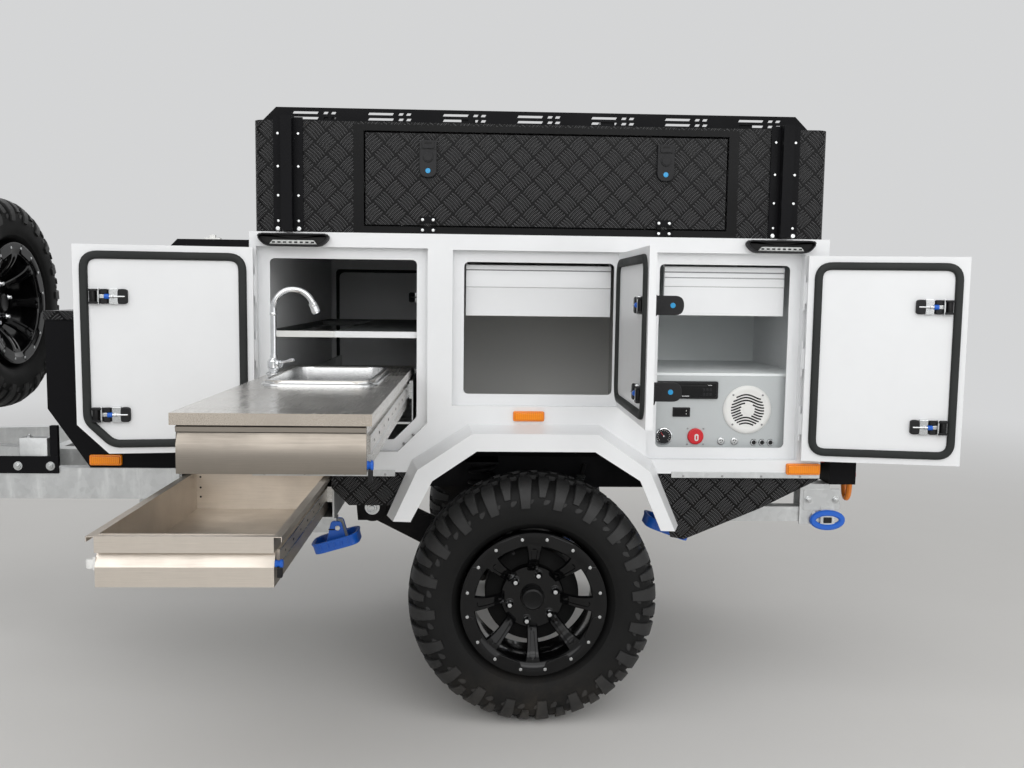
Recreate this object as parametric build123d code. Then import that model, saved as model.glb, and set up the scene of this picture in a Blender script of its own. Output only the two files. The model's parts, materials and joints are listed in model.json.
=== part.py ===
from build123d import *
import math
import os

# Compact off-road camper trailer: a white box body with six side doors, a black
# roof box with fold-down hatches, a front locker with a spare wheel ahead of it,
# a slide-out kitchen bench and an underfloor drawer, on a galvanised chassis.
# All sizes are in millimetres. While it is modelled, x counts from the wheel
# axle towards the rear, y from the centre plane towards the right-hand side and
# z from the ground up. Every piece is written in the coupling's frame.

# Driving sizes: running gear
tyre_radius = 366.0
tyre_width = 235.0
rim_radius = 196.0
rim_lip_radius = 212.0
stud_circle = 139.7
stud_count = 6
wheel_proud = 75.0
rim_inset = 10.0
axle_stub_radius = 24.0
stub_grip = 6.0
disc_depth = 90.0
disc_thick = 30.0
drum_radius = 140.0
stud_hole_radius = 8.0
tread_blocks = 28
tread_groove = 12.0

# Driving sizes: white body
body_length = 1650.0
body_centre = 14.0
body_width = 1340.0
body_bottom = 738.0
body_top = 1420.0
body_wall = 32.0
floor_thick = 52.0

# Driving sizes: doors and the rebates they close into
rebate_depth = 28.0
door_thick = 18.0
door_gap = 5.0
hinge_offset = 8.0
hinge_pin = 4.0
hinge_inset = 110.0
knuckle_half = 30.0
sill = 32.0
opening_corner = 14.0
front_door_inset = 19.0
rear_door_inset = 70.0
front_door_open = 172.0
middle_door_open = 90.0
rear_door_open = 170.0
latch_inset = 96.0
latch_low, latch_high = 84.0, 145.0

# Driving sizes: roof box, rack, front locker
roof_box_short = 14.0
roof_box_height = 307.0
roof_box_wall = 24.0
roof_box_inset = 4.0
roof_box_corner = 30.0
hatch_front, hatch_rear = 325.0, 305.0
hatch_height = 254.0
hatch_sill = 24.0
hatch_thick = 18.0
hatch_frame_side, hatch_frame_top, hatch_frame_proud = 28.0, 17.0, 3.0
hatch_hinge_inset = 175.0
hatch_knuckle = 9.0
hatch_pin = 5.0
post_inset = 125.0
post_shift = 14.0
post_side = 30.0
post_flange = 82.0
rack_short = 35.0
rack_height = 46.0
rack_inset = 55.0
sheet = 4.0
locker_length = 593.0
locker_nose = 170.0
locker_slant = 116.0
locker_seam = 1163.0
lid_height = 27.0
locker_narrow = 50.0
locker_wall = 16.0

# Driving sizes: chassis and coupling
rail_height = 98.0
rail_width = 50.0
rail_inset = 305.0
coupling_x = -2750.0
coupling_height = 640.0
pin_radius = 17.5
leg_side = 45.0

# Driving sizes: kitchen bench, drawers
bench_side_gap = 38.5
bench_rear_gap = 15.5
bench_length = 1150.0
bench_slab = 22.0
bench_overhang = 12.0
bench_out = 1005.0
bench_top = 1035.0
bench_height = 111.0
steel = 2.0
drawer_width = 390.0
drawer_length = 760.0
drawer_out = 650.0
drawer_top = 716.0
drawer_height = 114.0
drawer_flange = 18.0
drawer_lip = 12.0
slide_thick = 13.0
running_gap = 0.3
shaft_gap = 0.05

# Worked out from the driving sizes
body_front = body_centre - body_length / 2
body_rear = body_centre + body_length / 2
side = body_width / 2
inner_side = side - body_wall
lip_face = side - rebate_depth
floor_top = body_bottom + floor_thick
ceiling = body_top - body_wall
pivot_side = side + hinge_offset
door_outer = side
door_inner = side - door_thick
rail_top = body_bottom
rail_bottom = rail_top - rail_height
locker_bottom = rail_top
wheel_outer = side + wheel_proud
rail_y = side - rail_inset
roof_box_side = side - roof_box_inset
roof_box_front, roof_box_rear = body_front + roof_box_short, body_rear - roof_box_short
roof_top = body_top + roof_box_height
drawer_bottom = drawer_top - drawer_height
locker_front = body_front - locker_length
locker_top = locker_seam + lid_height
locker_half = side - locker_narrow

# Each door: rebate from x0 to x1 and z0 to z1, a cut corner towards the wheel
# (0 for none), the x side of its hinge and how far it stands open
door_table = [
    # name, x0, x1, z0, z1, cut, hinge, open
    ("front", body_front + front_door_inset, -311.0, 797.0, 1379.0, 84.0, -1, front_door_open),
    ("middle", -240.0, 256.0, 932.0, 1376.0, 0.0, 1, middle_door_open),
    ("rear", 324.0, body_rear - rear_door_inset, 779.0, 1377.0, 0.0, 1, rear_door_open),
]
rear_door_x0, rear_door_x1 = door_table[2][1:3]

# The bench fills the kitchen opening but for a gap at each end
bench_x0 = door_table[0][1] + sill + bench_side_gap
bench_x1 = door_table[0][2] - sill - bench_rear_gap
bench_width = bench_x1 - bench_x0
bench_x = (bench_x0 + bench_x1) / 2

# Wheel arch, seen from the side: outer lip of the flare and its inner edge
flare_lip = [(-402, 611), (-334, 758), (-180, 862), (176, 862), (324, 758), (400, 585)]
flare_inner = [(-352, 611), (-292, 727), (-167, 812), (167, 812), (297, 730), (362, 580)]
flare_spread = 24.0
arch_depth = 285.0


def block(x0, x1, y0, y1, z0, z1):
    """Box between two corners."""
    centre = ((x0 + x1) / 2, (y0 + y1) / 2, (z0 + z1) / 2)
    return Pos(*centre) * Box(abs(x1 - x0), abs(y1 - y0), abs(z1 - z0))


def side_plate(points, y0, y1):
    """Outline in the x-z plane, carried from y0 to y1."""
    low = min(y0, y1)
    plane = Plane(origin=(0, low, 0), x_dir=(1, 0, 0), z_dir=(0, -1, 0))
    face = make_face(plane * Polyline([(x, z) for x, z in points], close=True))
    return extrude(face, amount=abs(y1 - y0), dir=(0, 1, 0))


def cross_plate(points, x0, x1):
    """Outline in the y-z plane, carried from x0 to x1."""
    plane = Plane(origin=(x0, 0, 0), x_dir=(0, 1, 0), z_dir=(1, 0, 0))
    return extrude(plane * make_face(Polyline(points, close=True)), amount=x1 - x0)


def rod(start, end, radius):
    """Round bar between two points."""
    a, b = Vector(*start), Vector(*end)
    plane = Plane(origin=a, z_dir=(b - a).normalized())
    return extrude(plane * Circle(radius), amount=(b - a).length)


def bar(start, end, width, height):
    """Rectangular bar between two points, its height kept upright."""
    a, b = Vector(*start), Vector(*end)
    run = (b - a).normalized()
    across = Vector(0, 0, 1).cross(run).normalized()
    plane = Plane(origin=a, x_dir=across, z_dir=run)
    return extrude(plane * Rectangle(width, height), amount=(b - a).length)


def both_sides(shape):
    """The left-hand shape and its mirror image on the right."""
    return [shape, mirror(shape, about=Plane.XZ)]


def turned(shape, x, y, angle):
    """Shape turned about the upright line through x, y."""
    return Pos(x, y, 0) * Rot(0, 0, angle) * Pos(-x, -y, 0) * shape


def door_outline(entry, grow):
    """Corner points of a door or its rebate, grown by a margin."""
    x0, x1, z0, z1, cut = entry[1:6]
    x0, x1, z0, z1 = x0 - grow, x1 + grow, z0 - grow, z1 + grow
    if not cut:
        return [(x0, z0), (x1, z0), (x1, z1), (x0, z1)]
    cut += grow * (2 - math.sqrt(2))
    return [(x0, z0), (x1 - cut, z0), (x1, z0 + cut), (x1, z1), (x0, z1)]


# Body shell

def arch_outline(grow):
    """Wheel arch hole in the body side, open towards the ground."""
    outer = [(x + grow * math.copysign(1, x), z + grow) for x, z in flare_inner]
    return [(outer[0][0], body_bottom - 250)] + outer + [(outer[-1][0], body_bottom - 250)]


def hinge_heights(entry):
    """Heights of a door's three hinges."""
    z0, z1 = entry[3], entry[4]
    return (z0 + hinge_inset, (z0 + z1) / 2, z1 - hinge_inset)


def rebate_room(entry):
    """Room on the body side between a rebate's hinge edge and the body's end."""
    return entry[1] - body_front if entry[6] < 0 else body_rear - entry[2]


knuckle_length = 20.0
leaf_reach = 24.0


def hinge_knuckles(hand):
    """Fixed halves of the door hinges, on the body side beyond each rebate."""
    found = []
    y = hand * pivot_side
    for entry in door_table:
        x = hinge_x(entry)
        for z in hinge_heights(entry):
            for way in (-1, 1):
                near = z + way * (knuckle_half + running_gap)
                far = near + way * knuckle_length
                found.append(rod((x, y, near), (x, y, far), hinge_pin)
                             + block(x, x + entry[6] * min(leaf_reach, rebate_room(entry)),
                                     hand * side, hand * (pivot_side - 1), near, far))
    return found


def body_shell():
    shell = block(body_front, body_rear, -side, side, body_bottom, body_top)
    shell -= block(body_front + body_wall, body_rear - body_wall,
                   -inner_side, inner_side, floor_top, ceiling)
    for hand in (-1, 1):
        for entry in door_table:
            rebate = door_outline(entry, 0.0)
            opening = side_plate(door_outline(entry, -sill), hand * (inner_side - 5),
                                 hand * (side + 10))
            shell -= side_plate(rebate, hand * lip_face, hand * (side + 10))
            shell -= fillet(opening.edges().filter_by(Axis.Y), opening_corner)
        shell -= side_plate(arch_outline(10.0), hand * (side - arch_depth - 1),
                            hand * (side + 10))
        for knuckle in hinge_knuckles(hand):
            shell += knuckle
    return shell


def arch_liner():
    outer = side_plate(arch_outline(9.0), -side, -(side - arch_depth))
    inner = side_plate(arch_outline(9.0 - sheet), -side - 1, -(side - arch_depth + sheet))
    liner = outer - inner
    liner &= block(-600, 600, -side, 0, body_bottom, body_top)
    return liner


# Partitions and shelves

partition_thick = 20.0
partition_x = (-276.0, 305.0)
back_wall_y = -60.0
shelf_z = 1132.0
shelf_thick = 18.0
tap_slot = 187.0
tap_slot_edge = 12.0
tap_slot_end = side - 340.0
middle_floor_z = 900.0
panel_top = 1020.0


def partitions():
    x_inner0, x_inner1 = body_front + body_wall, body_rear - body_wall
    walls = []
    for x in partition_x:
        wall = block(x - partition_thick / 2, x + partition_thick / 2,
                     -inner_side, inner_side, floor_top, ceiling)
        for hand in (-1, 1):
            wall -= side_plate(arch_outline(14.0), hand * (side - arch_depth - 6),
                               hand * (side + 10))
        walls.append(wall)
    left, right = partition_x[0] + partition_thick / 2, partition_x[1] - partition_thick / 2
    walls.append(block(left, x_inner1, back_wall_y, back_wall_y + partition_thick,
                       middle_floor_z, ceiling))
    walls.append(block(left, right, -inner_side, inner_side,
                       middle_floor_z - partition_thick, middle_floor_z))
    walls.append(block(partition_x[1], x_inner1, panel_face + 4, back_wall_y,
                       panel_top + running_gap, panel_top + 8))
    body = walls[0]
    for wall in walls[1:]:
        body += wall
    return body


def kitchen_shelf():
    x0 = body_front + body_wall
    x1 = partition_x[0] - partition_thick / 2
    shelf = block(x0, x1, -inner_side + 10, inner_side - 40,
                  shelf_z - shelf_thick / 2, shelf_z + shelf_thick / 2)
    shelf -= block(x0 + tap_slot_edge, x0 + tap_slot_edge + tap_slot, -inner_side - 1,
                   tap_slot_end, shelf_z - shelf_thick, shelf_z + shelf_thick)
    return shelf


# Control panel. Places along it count from the rear door's front edge, for the
# width that the door has in the photograph, and stretch with the door.

door_width_seen = 445.0


def along_panel(place):
    return rear_door_x0 + place * (rear_door_x1 - rear_door_x0) / door_width_seen


radio_width, radio_height, radio_x, radio_z = 180.0, 52.0, along_panel(130), 978.0
meter_width, meter_height, meter_x, meter_z = 52.0, 28.0, along_panel(113), 912.0
speaker_radius, speaker_x, speaker_z = 72.0, along_panel(309), 921.0
# round sockets: place along the panel, height, radius
socket_table = [(62, 840, 26), (157, 840, 24), (234, 826, 11), (274, 826, 11),
                (332, 823, 10), (357, 823, 10), (382, 823, 10)]
socket_list = [(along_panel(place), z, r) for place, z, r in socket_table]
socket_rim = 4.0
speaker_rim = 10.0
panel_face = -(inner_side - 26)
panel_sheet = 3.0
panel_shelf = 30.0


def control_panel():
    x0 = partition_x[1] + partition_thick / 2 + 4
    x1 = body_rear - body_wall - 22
    z0 = floor_top + running_gap
    panel = block(x0, x1, panel_face, panel_face + panel_sheet, z0, panel_top)
    panel += block(x0, x1, panel_face, panel_face + panel_shelf, panel_top - panel_sheet, panel_top)
    panel -= block(radio_x - radio_width / 2, radio_x + radio_width / 2,
                   panel_face - 1, panel_face + 10,
                   radio_z - radio_height / 2, radio_z + radio_height / 2)
    panel -= block(meter_x - meter_width / 2, meter_x + meter_width / 2,
                   panel_face - 1, panel_face + 10,
                   meter_z - meter_height / 2, meter_z + meter_height / 2)
    holes = [(speaker_x, speaker_z, speaker_radius - speaker_rim)]
    holes += [(x, z, r - socket_rim) for x, z, r in socket_list]
    for x, z, r in holes:
        panel -= rod((x, panel_face - 5, z), (x, panel_face + 12, z), r)
    return panel


def radio():
    gap = running_gap
    unit = block(radio_x - radio_width / 2 + gap, radio_x + radio_width / 2 - gap,
                 panel_face - 10, panel_face + 120,
                 radio_z - radio_height / 2 + gap, radio_z + radio_height / 2 - gap)
    meter = block(meter_x - meter_width / 2 + gap, meter_x + meter_width / 2 - gap,
                  panel_face - 4, panel_face + 30,
                  meter_z - meter_height / 2 + gap, meter_z + meter_height / 2 - gap)
    return [unit, meter]


def speaker():
    x, z = speaker_x, speaker_z
    ring = rod((x, panel_face - 8, z), (x, panel_face, z), speaker_radius)
    ring += rod((x, panel_face, z), (x, panel_face + 40, z),
                speaker_radius - speaker_rim - running_gap)
    return ring


def sockets():
    found = []
    for x, z, r in socket_list:
        socket = rod((x, panel_face - 6, z), (x, panel_face, z), r)
        socket += rod((x, panel_face, z), (x, panel_face + 22, z), r - socket_rim - running_gap)
        found.append(socket)
    return found


# Roof box, hatches and rack

def hatch_span():
    z0 = body_top + hatch_sill
    return body_front + hatch_front, body_rear - hatch_rear, z0, z0 + hatch_height


def hatch_hinges():
    x0, x1 = hatch_span()[:2]
    return (x0 + hatch_hinge_inset, x1 - hatch_hinge_inset)


def hatch_frame(hand):
    """Flat frame round a hatch, standing proud of the roof box."""
    x0, x1, z0, z1 = hatch_span()
    x0, x1, z0, z1 = x0 - door_gap, x1 + door_gap, z0 - door_gap, z1 + door_gap
    inner, outer = roof_box_side - 1, roof_box_side + hatch_frame_proud
    frame = block(x0 - hatch_frame_side, x1 + hatch_frame_side, hand * inner, hand * outer,
                  body_top + running_gap, z1 + hatch_frame_top)
    return frame - block(x0, x1, hand * (inner - 1), hand * (outer + 1), z0, z1)


def roof_box():
    x0, x1 = roof_box_front, roof_box_rear
    box = block(x0, x1, -roof_box_side, roof_box_side, body_top, roof_top)
    box = fillet(box.edges().filter_by(Axis.Z), roof_box_corner)
    box -= block(x0 + roof_box_wall, x1 - roof_box_wall, -roof_box_side + roof_box_wall,
                 roof_box_side - roof_box_wall, body_top + roof_box_wall,
                 roof_top - roof_box_wall)
    hx0, hx1, hz0, hz1 = hatch_span()
    for hand in (-1, 1):
        box -= block(hx0 - door_gap, hx1 + door_gap, hand * (roof_box_side - roof_box_wall - 1),
                     hand * (roof_box_side + 1), hz0 - door_gap, hz1 + door_gap)
        box += hatch_frame(hand)
        for x in hatch_hinges():
            for way in (-1, 1):
                near = x + way * (hatch_knuckle + running_gap)
                far = near + way * hatch_knuckle_fixed
                box += rod((near, hand * (roof_box_side + hatch_pin), hz0),
                           (far, hand * (roof_box_side + hatch_pin), hz0), hatch_pin)
                box += block(near, far, hand * (roof_box_side - 1), hand * (roof_box_side + hatch_leaf),
                             hz0 - hatch_leaf_reach, hz0)
    return box


hatch_knuckle_fixed = 12.0
hatch_leaf, hatch_leaf_reach = 3.0, 22.0
# whale-tail latch of a hatch: half width, height, depth and its distance from the top
tail_half, tail_height, tail_deep, tail_top = 24.0, 78.0, 10.0, 20.0


def hatch(hand):
    x0, x1, z0, z1 = hatch_span()
    outer = roof_box_side
    panel = block(x0, x1, hand * (outer - hatch_thick), hand * outer, z0, z1)
    for x in hatch_hinges():
        low, high = x - hatch_knuckle, x + hatch_knuckle
        knuckle = rod((low, hand * (outer + hatch_pin), z0), (high, hand * (outer + hatch_pin), z0),
                      hatch_pin)
        leaf = block(low, high, hand * (outer - 1), hand * (outer + hatch_leaf),
                     z0, z0 + hatch_leaf_reach)
        panel += knuckle + leaf
        top, low_end = z1 - tail_top, z1 - tail_top - tail_height
        latch = block(x - tail_half, x + tail_half, hand * outer, hand * (outer + tail_deep),
                      low_end, top)
        latch += rod((x, hand * outer, low_end), (x, hand * (outer + tail_deep), low_end), tail_half)
        panel += latch
    return panel


def front_wing(hand):
    """Folded gusset on the body's front wall, above the locker lid's end."""
    root, tip = body_front, body_front - wing_reach
    points = [(root, wing_top), (root, wing_top - wing_deep), (tip, wing_top - wing_edge),
              (tip + wing_edge, wing_top)]
    wing = side_plate(points, hand * (side - 6), hand * (side - 6 + sheet))
    return wing + block(tip + wing_edge, root, hand * (side - wing_fold), hand * (side - 6 + sheet),
                        wing_top - sheet, wing_top)


wing_reach, wing_top, wing_deep, wing_edge, wing_fold = 249.0, 1396.0, 150.0, 50.0, 36.0


def rack_posts():
    posts = [front_wing(hand) for hand in (-1, 1)]
    for hand in (-1, 1):
        for x in (body_front + post_inset - post_shift, body_rear - post_inset - post_shift):
            face = roof_box_side
            z0, z1 = body_top + 2, roof_top + 8
            flange = block(x - post_flange / 2, x + post_flange / 2,
                           hand * face, hand * (face + 5), z0, z1)
            tube = block(x - post_side / 2, x + post_side / 2,
                         hand * (face + 5), hand * (face + 5 + post_side), z0, z1)
            posts.append(flange + tube)
    return posts


# Slots of a rack rail: how many groups, heights above the rail's foot, slot
# height and lean, and each slot's start and length within a group
slot_groups = 7
slot_heights = (13.0, 28.0)
slot_high, slot_lean = 7.0, 4.0
slot_table = [(0.0, 70.0), (86.0, 12.0), (108.0, 12.0)]
rack_slope = 46.0
rack_foot = 30.0
rack_x0, rack_x1 = body_front - 14 + rack_short, body_rear - 14 - rack_short
bar_count = 4
bar_half, bar_high, bar_edge = 20.0, 22.0, 190.0


def rack_rail():
    y = roof_box_side - rack_inset
    low, high = roof_top + running_gap, roof_top + rack_height
    outline = [(rack_x0, low), (rack_x1, low), (rack_x1 - rack_slope, high),
               (rack_x0 + rack_slope, high)]
    rail = side_plate(outline, -y, -y + sheet)
    rail += block(rack_x0, rack_x1, -y, -y + rack_foot, low, low + sheet)
    pitch = (rack_x1 - rack_x0 - 2 * rack_slope) / slot_groups
    for i in range(slot_groups):
        for start, run in slot_table:
            x = rack_x0 + 2 * rack_slope + i * pitch + start
            for z in (low + slot_heights[0], low + slot_heights[1]):
                slot = [(x, z), (x + run, z), (x + run + slot_lean, z + slot_high),
                        (x + slot_lean, z + slot_high)]
                rail -= side_plate(slot, -y - 1, -y + sheet + 1)
    return rail


def rack_bars():
    y = roof_box_side - rack_inset - sheet - running_gap
    z0 = roof_top + sheet + 2 * running_gap
    first, last = rack_x0 + bar_edge, rack_x1 - bar_edge
    places = [first + i * (last - first) / (bar_count - 1) for i in range(bar_count)]
    return [block(x - bar_half, x + bar_half, -y, y, z0, z0 + bar_high) for x in places]


# Lamps

work_lamp_half, work_lamp_deep, work_lamp_high, work_lamp_drop = 103.0, 30.0, 36.0, 5.0
work_lamp_places = (body_front + 127.0, body_rear - 147.0)
# side marker lamps: centre x, centre z, width, height, the face they sit on
marker_table = [(-19.0, 904.0, 90.0, 29.0, side), (body_rear - 52.0, 754.0, 100.0, 33.0, side),
                (body_front - 430.0, 760.5, 92.0, 31.0, locker_half)]
marker_deep = 14.0
tail_lamp_deep = 26.0
tail_lamp_y = (side - 170.0, side - 20.0)
tail_lamp_z = (body_bottom + 25.0, body_bottom + 105.0)


def work_lamps():
    found = []
    top = body_top - work_lamp_drop
    for hand in (-1, 1):
        for x in work_lamp_places:
            found.append(block(x - work_lamp_half, x + work_lamp_half, hand * side,
                               hand * (side + work_lamp_deep), top - work_lamp_high, top))
    return found


def marker_lamps():
    found = []
    for hand in (-1, 1):
        for x, z, width, high, face in marker_table:
            found.append(block(x - width / 2, x + width / 2, hand * face,
                               hand * (face + marker_deep), z - high / 2, z + high / 2))
    return found


def tail_lamps():
    return [block(body_rear, body_rear + tail_lamp_deep, hand * tail_lamp_y[0],
                  hand * tail_lamp_y[1], *tail_lamp_z) for hand in (-1, 1)]


# Fender flare and skirts

def flare():
    out = -wheel_outer
    spread = [(x * (1 + flare_spread / 400.0), z + flare_spread * 0.7)
              for x, z in flare_lip]
    spread[0] = (spread[0][0], flare_lip[0][1])
    spread[-1] = (spread[-1][0], flare_lip[-1][1])

    def ring(points, y):
        plane = Plane(origin=(0, y, 0), x_dir=(1, 0, 0), z_dir=(0, -1, 0))
        return make_face(plane * Polyline(points, close=True))

    def shrunk(points, by):
        return [(x - by * math.copysign(1, x), z - by) for x, z in points]

    outer = loft([ring(spread, -side - running_gap), ring(flare_lip, out)])
    hollow = loft([ring(shrunk(spread, sheet), -side + 1), ring(shrunk(flare_lip, sheet), out + sheet)])
    hollow_low = side_plate([(-380, 400), (380, 400), (330, 640), (-330, 640)], -side, out + sheet)
    body = outer - hollow
    body -= side_plate([(flare_inner[0][0], 400)] + flare_inner + [(flare_inner[-1][0], 400)],
                       -side + 5, out - 5)
    return body - hollow_low


skirt_y = side - 6.0
skirt_rear = [(356, 738), (body_rear, 738), (body_rear, 722), (body_rear - 173, 634), (444, 541),
              (404, 548)]
skirt_front = [(-586, 738), (-356, 738), (-404, 639), (-536, 639), (-586, 690)]


def skirts():
    found = []
    for points in (skirt_rear, skirt_front):
        plate = side_plate(points, -skirt_y, -skirt_y + sheet)
        x0, x1 = points[0][0], points[1][0]
        plate += block(min(x0, x1), max(x0, x1), -skirt_y, -skirt_y + 30,
                       body_bottom - sheet, body_bottom)
        found += both_sides(plate)
    return found


# Chassis

drawer_x = body_front + 3.0
housing_wall = 5.0
housing_gap = 5.0
slide_room = drawer_flange + housing_gap
housing_half = drawer_width / 2 + slide_room + housing_wall
housing_x0, housing_x1 = drawer_x - housing_half, drawer_x + housing_half
housing_bottom = 588.0
housing_y0, housing_y1 = -side + 50.0, side - 250.0
cross_beam = 25.0
outrigger_half = 16.0
outrigger_low = 690.0
deck_x0, deck_width = locker_front - 156.0, 40.0
deck_y0, deck_y1 = locker_half - 30.0, locker_half + 10.0
deck_low = rail_bottom + 8.0
leg_plate_y, leg_plate_x = side - 170.0, housing_x0 - 110.0
tip_x, tip_y = coupling_x + 190.0, 62.0


def drawbar_face(x):
    """Outer face of the drawbar leg, measured across the trailer, at x."""
    share = (x - tip_x) / (housing_x0 - 1 - tip_x)
    angle = math.atan2(rail_y - tip_y, housing_x0 - 1 - tip_x)
    return tip_y + share * (rail_y - tip_y) + rail_width / 2 / math.cos(angle)


def chassis():
    mid = (rail_top + rail_bottom) / 2
    y = rail_y
    frame = block(housing_x1, body_rear, -y - rail_width / 2, -y + rail_width / 2,
                  rail_bottom, rail_top)
    frame += mirror(frame, about=Plane.XZ)
    for x in (housing_x1 + cross_beam, -90, 330, body_rear - cross_beam):
        frame += block(x - cross_beam, x + cross_beam, -y, y, rail_bottom + 20, rail_top)
    for x in (-572, 560, body_rear - 24):
        frame += block(x - outrigger_half, x + outrigger_half, -skirt_y + 35, skirt_y - 35,
                       outrigger_low, rail_top)
    housing = block(housing_x0, housing_x1, housing_y0, housing_y1, housing_bottom, rail_top)
    housing -= block(housing_x0 + housing_wall, housing_x1 - housing_wall, housing_y0 - 1,
                     housing_y1 - housing_wall, housing_bottom + housing_wall,
                     rail_top - housing_wall)
    frame += housing
    frame += block(housing_x0, housing_x1, housing_y1 - 1, skirt_y - 44, rail_top - 40, rail_top)
    for hand in (-1, 1):
        frame += bar((housing_x0 - 1, hand * y, mid), (tip_x, hand * tip_y, mid),
                     rail_width, rail_height)
        frame += block(deck_x0, housing_x0 + 1, hand * deck_y0, hand * deck_y1, deck_low, rail_top)
        frame += block(leg_plate_x, housing_x0 + 1, hand * leg_plate_y, hand * (deck_y0 + 1),
                       deck_low, deck_low + 10)
    frame += block(deck_x0, deck_x0 + deck_width, -deck_y0 - 1, deck_y0 + 1, deck_low, rail_top)
    frame += block(tip_x - 60, tip_x + 40, -90, 90, rail_bottom, rail_top)
    return frame


def coupling():
    head_x = coupling_x
    z = coupling_height
    back = coupling_x + 130 - running_gap
    eye = rod((head_x, 0, z - 32), (head_x, 0, z + 32), 40)
    neck = block(head_x, back, -26, 26, z - 26, z + 26)
    body = eye + neck
    body += block(back - 40, back, -60, 60, rail_bottom + 4, rail_top - 4)
    body -= rod((head_x, 0, z - 60), (head_x, 0, z + 60), pin_radius)
    return body


# Suspension

arm_y = wheel_outer - 293.0
pivot_x, pivot_z = -486.0, 597.0
spring_x, spring_low = -150.0, 512.0
stub_end = wheel_outer - rim_inset - disc_depth + stub_grip


def trailing_arm():
    arm = side_plate([(pivot_x - 30, pivot_z - 25), (pivot_x + 20, pivot_z + 35),
                      (-60, tyre_radius + 70), (60, tyre_radius + 45), (60, tyre_radius - 45),
                      (-30, tyre_radius - 45)], -arm_y - 30, -arm_y + 30)
    arm += rod((0, -arm_y, tyre_radius), (0, -stub_end, tyre_radius), axle_stub_radius)
    arm += block(spring_x - 50, spring_x + 50, -arm_y - 30, -arm_y + 30, spring_low - 60, spring_low)
    arm += block(50, 105, -arm_y - 18, -arm_y + 18, tyre_radius - 20, tyre_radius + 30)
    arm += rod((pivot_x, -arm_y - 42, pivot_z), (pivot_x, -arm_y + 42, pivot_z), 34)
    for y in (-arm_y - 46, -arm_y + 42):
        hanger = side_plate([(pivot_x - 45, pivot_z - 42), (pivot_x + 45, pivot_z - 42),
                             (pivot_x + 60, rail_top), (pivot_x - 60, rail_top)], y, y + 4)
        arm += hanger
    arm += block(pivot_x - 60, pivot_x + 60, -arm_y - 46, -rail_y - rail_width / 2,
                 rail_top - sheet, rail_top)
    return arm


def spring():
    top = body_bottom - 6
    coil = rod((spring_x, -arm_y, spring_low + running_gap), (spring_x, -arm_y, top), 46)
    coil += block(spring_x - 50, spring_x + 50, -arm_y - 46, -rail_y - rail_width / 2,
                  top - 1, body_bottom)
    damper = rod((80, -arm_y, tyre_radius + 38), (170, -arm_y, body_bottom - 12), 20)
    return [coil, damper]


# Wheels

rim_width = tyre_width - 2 * rim_inset
barrel_wall, lip_thick, ring_width = 12.0, 12.0, 24.0
hub_radius, cap_radius, cap_depth = 72.0, 33.0, 44.0
nut_pocket = 16.0
stud_turn = 13.5
spoke_count = 8
# a spoke's middle line: radius and depth behind the rim's face at each end
spoke_foot, spoke_head = (50.0, 64.0), (184.0, 20.0)
spoke_width, spoke_thick = 38.0, 26.0
drum_length = 61.0


def rim(drum=True):
    """Alloy rim about the z axis, its outer face towards +z."""
    front = rim_width / 2
    hub_face = front - disc_depth + disc_thick / 2
    body = Cylinder(rim_radius, rim_width) - Cylinder(rim_radius - barrel_wall, rim_width + 2)
    ring = Cylinder(rim_lip_radius, lip_thick)
    body += Pos(0, 0, front - lip_thick / 2) * (
        ring - Cylinder(rim_radius - ring_width, lip_thick + 2))
    body += Pos(0, 0, -front + lip_thick / 2) * (
        ring - Cylinder(rim_radius - barrel_wall, lip_thick + 2))
    body += Pos(0, 0, front - disc_depth) * Cylinder(hub_radius, disc_thick)
    for k in range(spoke_count):
        spoke = bar((spoke_foot[0], 0, front - spoke_foot[1]), (spoke_head[0], 0, front - spoke_head[1]),
                    spoke_width, spoke_thick)
        body += Rot(0, 0, 360 / spoke_count * k) * spoke
    if drum:
        back = front - disc_depth - disc_thick / 2
        body += Pos(0, 0, back - drum_length / 2 + 0.5) * Cylinder(drum_radius, drum_length)
        body -= Pos(0, 0, front - disc_depth - 40) * Cylinder(axle_stub_radius + shaft_gap, 100)
    for k in range(stud_count):
        angle = math.radians(90 - stud_turn - 360 / stud_count * k)
        x, y = stud_circle / 2 * math.cos(angle), stud_circle / 2 * math.sin(angle)
        body -= Pos(x, y, front - disc_depth + 10) * Cylinder(stud_hole_radius, disc_thick + 20)
        body -= Pos(x, y, hub_face + disc_depth / 2) * Cylinder(nut_pocket, disc_depth)
    body += Pos(0, 0, (hub_face + front - cap_depth) / 2) * Cylinder(
        cap_radius, front - cap_depth - hub_face + 1)
    return body


def tread_ring(low, high, radius, turn):
    """Band of tread blocks between two widths, its outline a gear with flat-topped teeth."""
    pitch = 360 / tread_blocks
    top, foot = 0.27 * pitch, 0.36 * pitch
    tooth = radius / math.cos(math.radians(top))
    outline = []
    for k in range(tread_blocks):
        middle = -90 + turn + k * pitch
        for angle, reach in ((middle - foot, radius - tread_groove), (middle - top, tooth),
                             (middle + top, tooth), (middle + foot, radius - tread_groove)):
            a = math.radians(angle)
            outline.append((reach * math.cos(a), reach * math.sin(a)))
    face = make_face(Polyline(outline, close=True))
    return Pos(0, 0, low) * extrude(face, amount=high - low)


# Bands of tread, from the middle outwards: inner and outer width and how much
# smaller each is than the tread
tread_bands = [(0.0, 84.0, 0.0), (84.0, 102.0, 9.0)]
carcass_gap = 8.0


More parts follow.
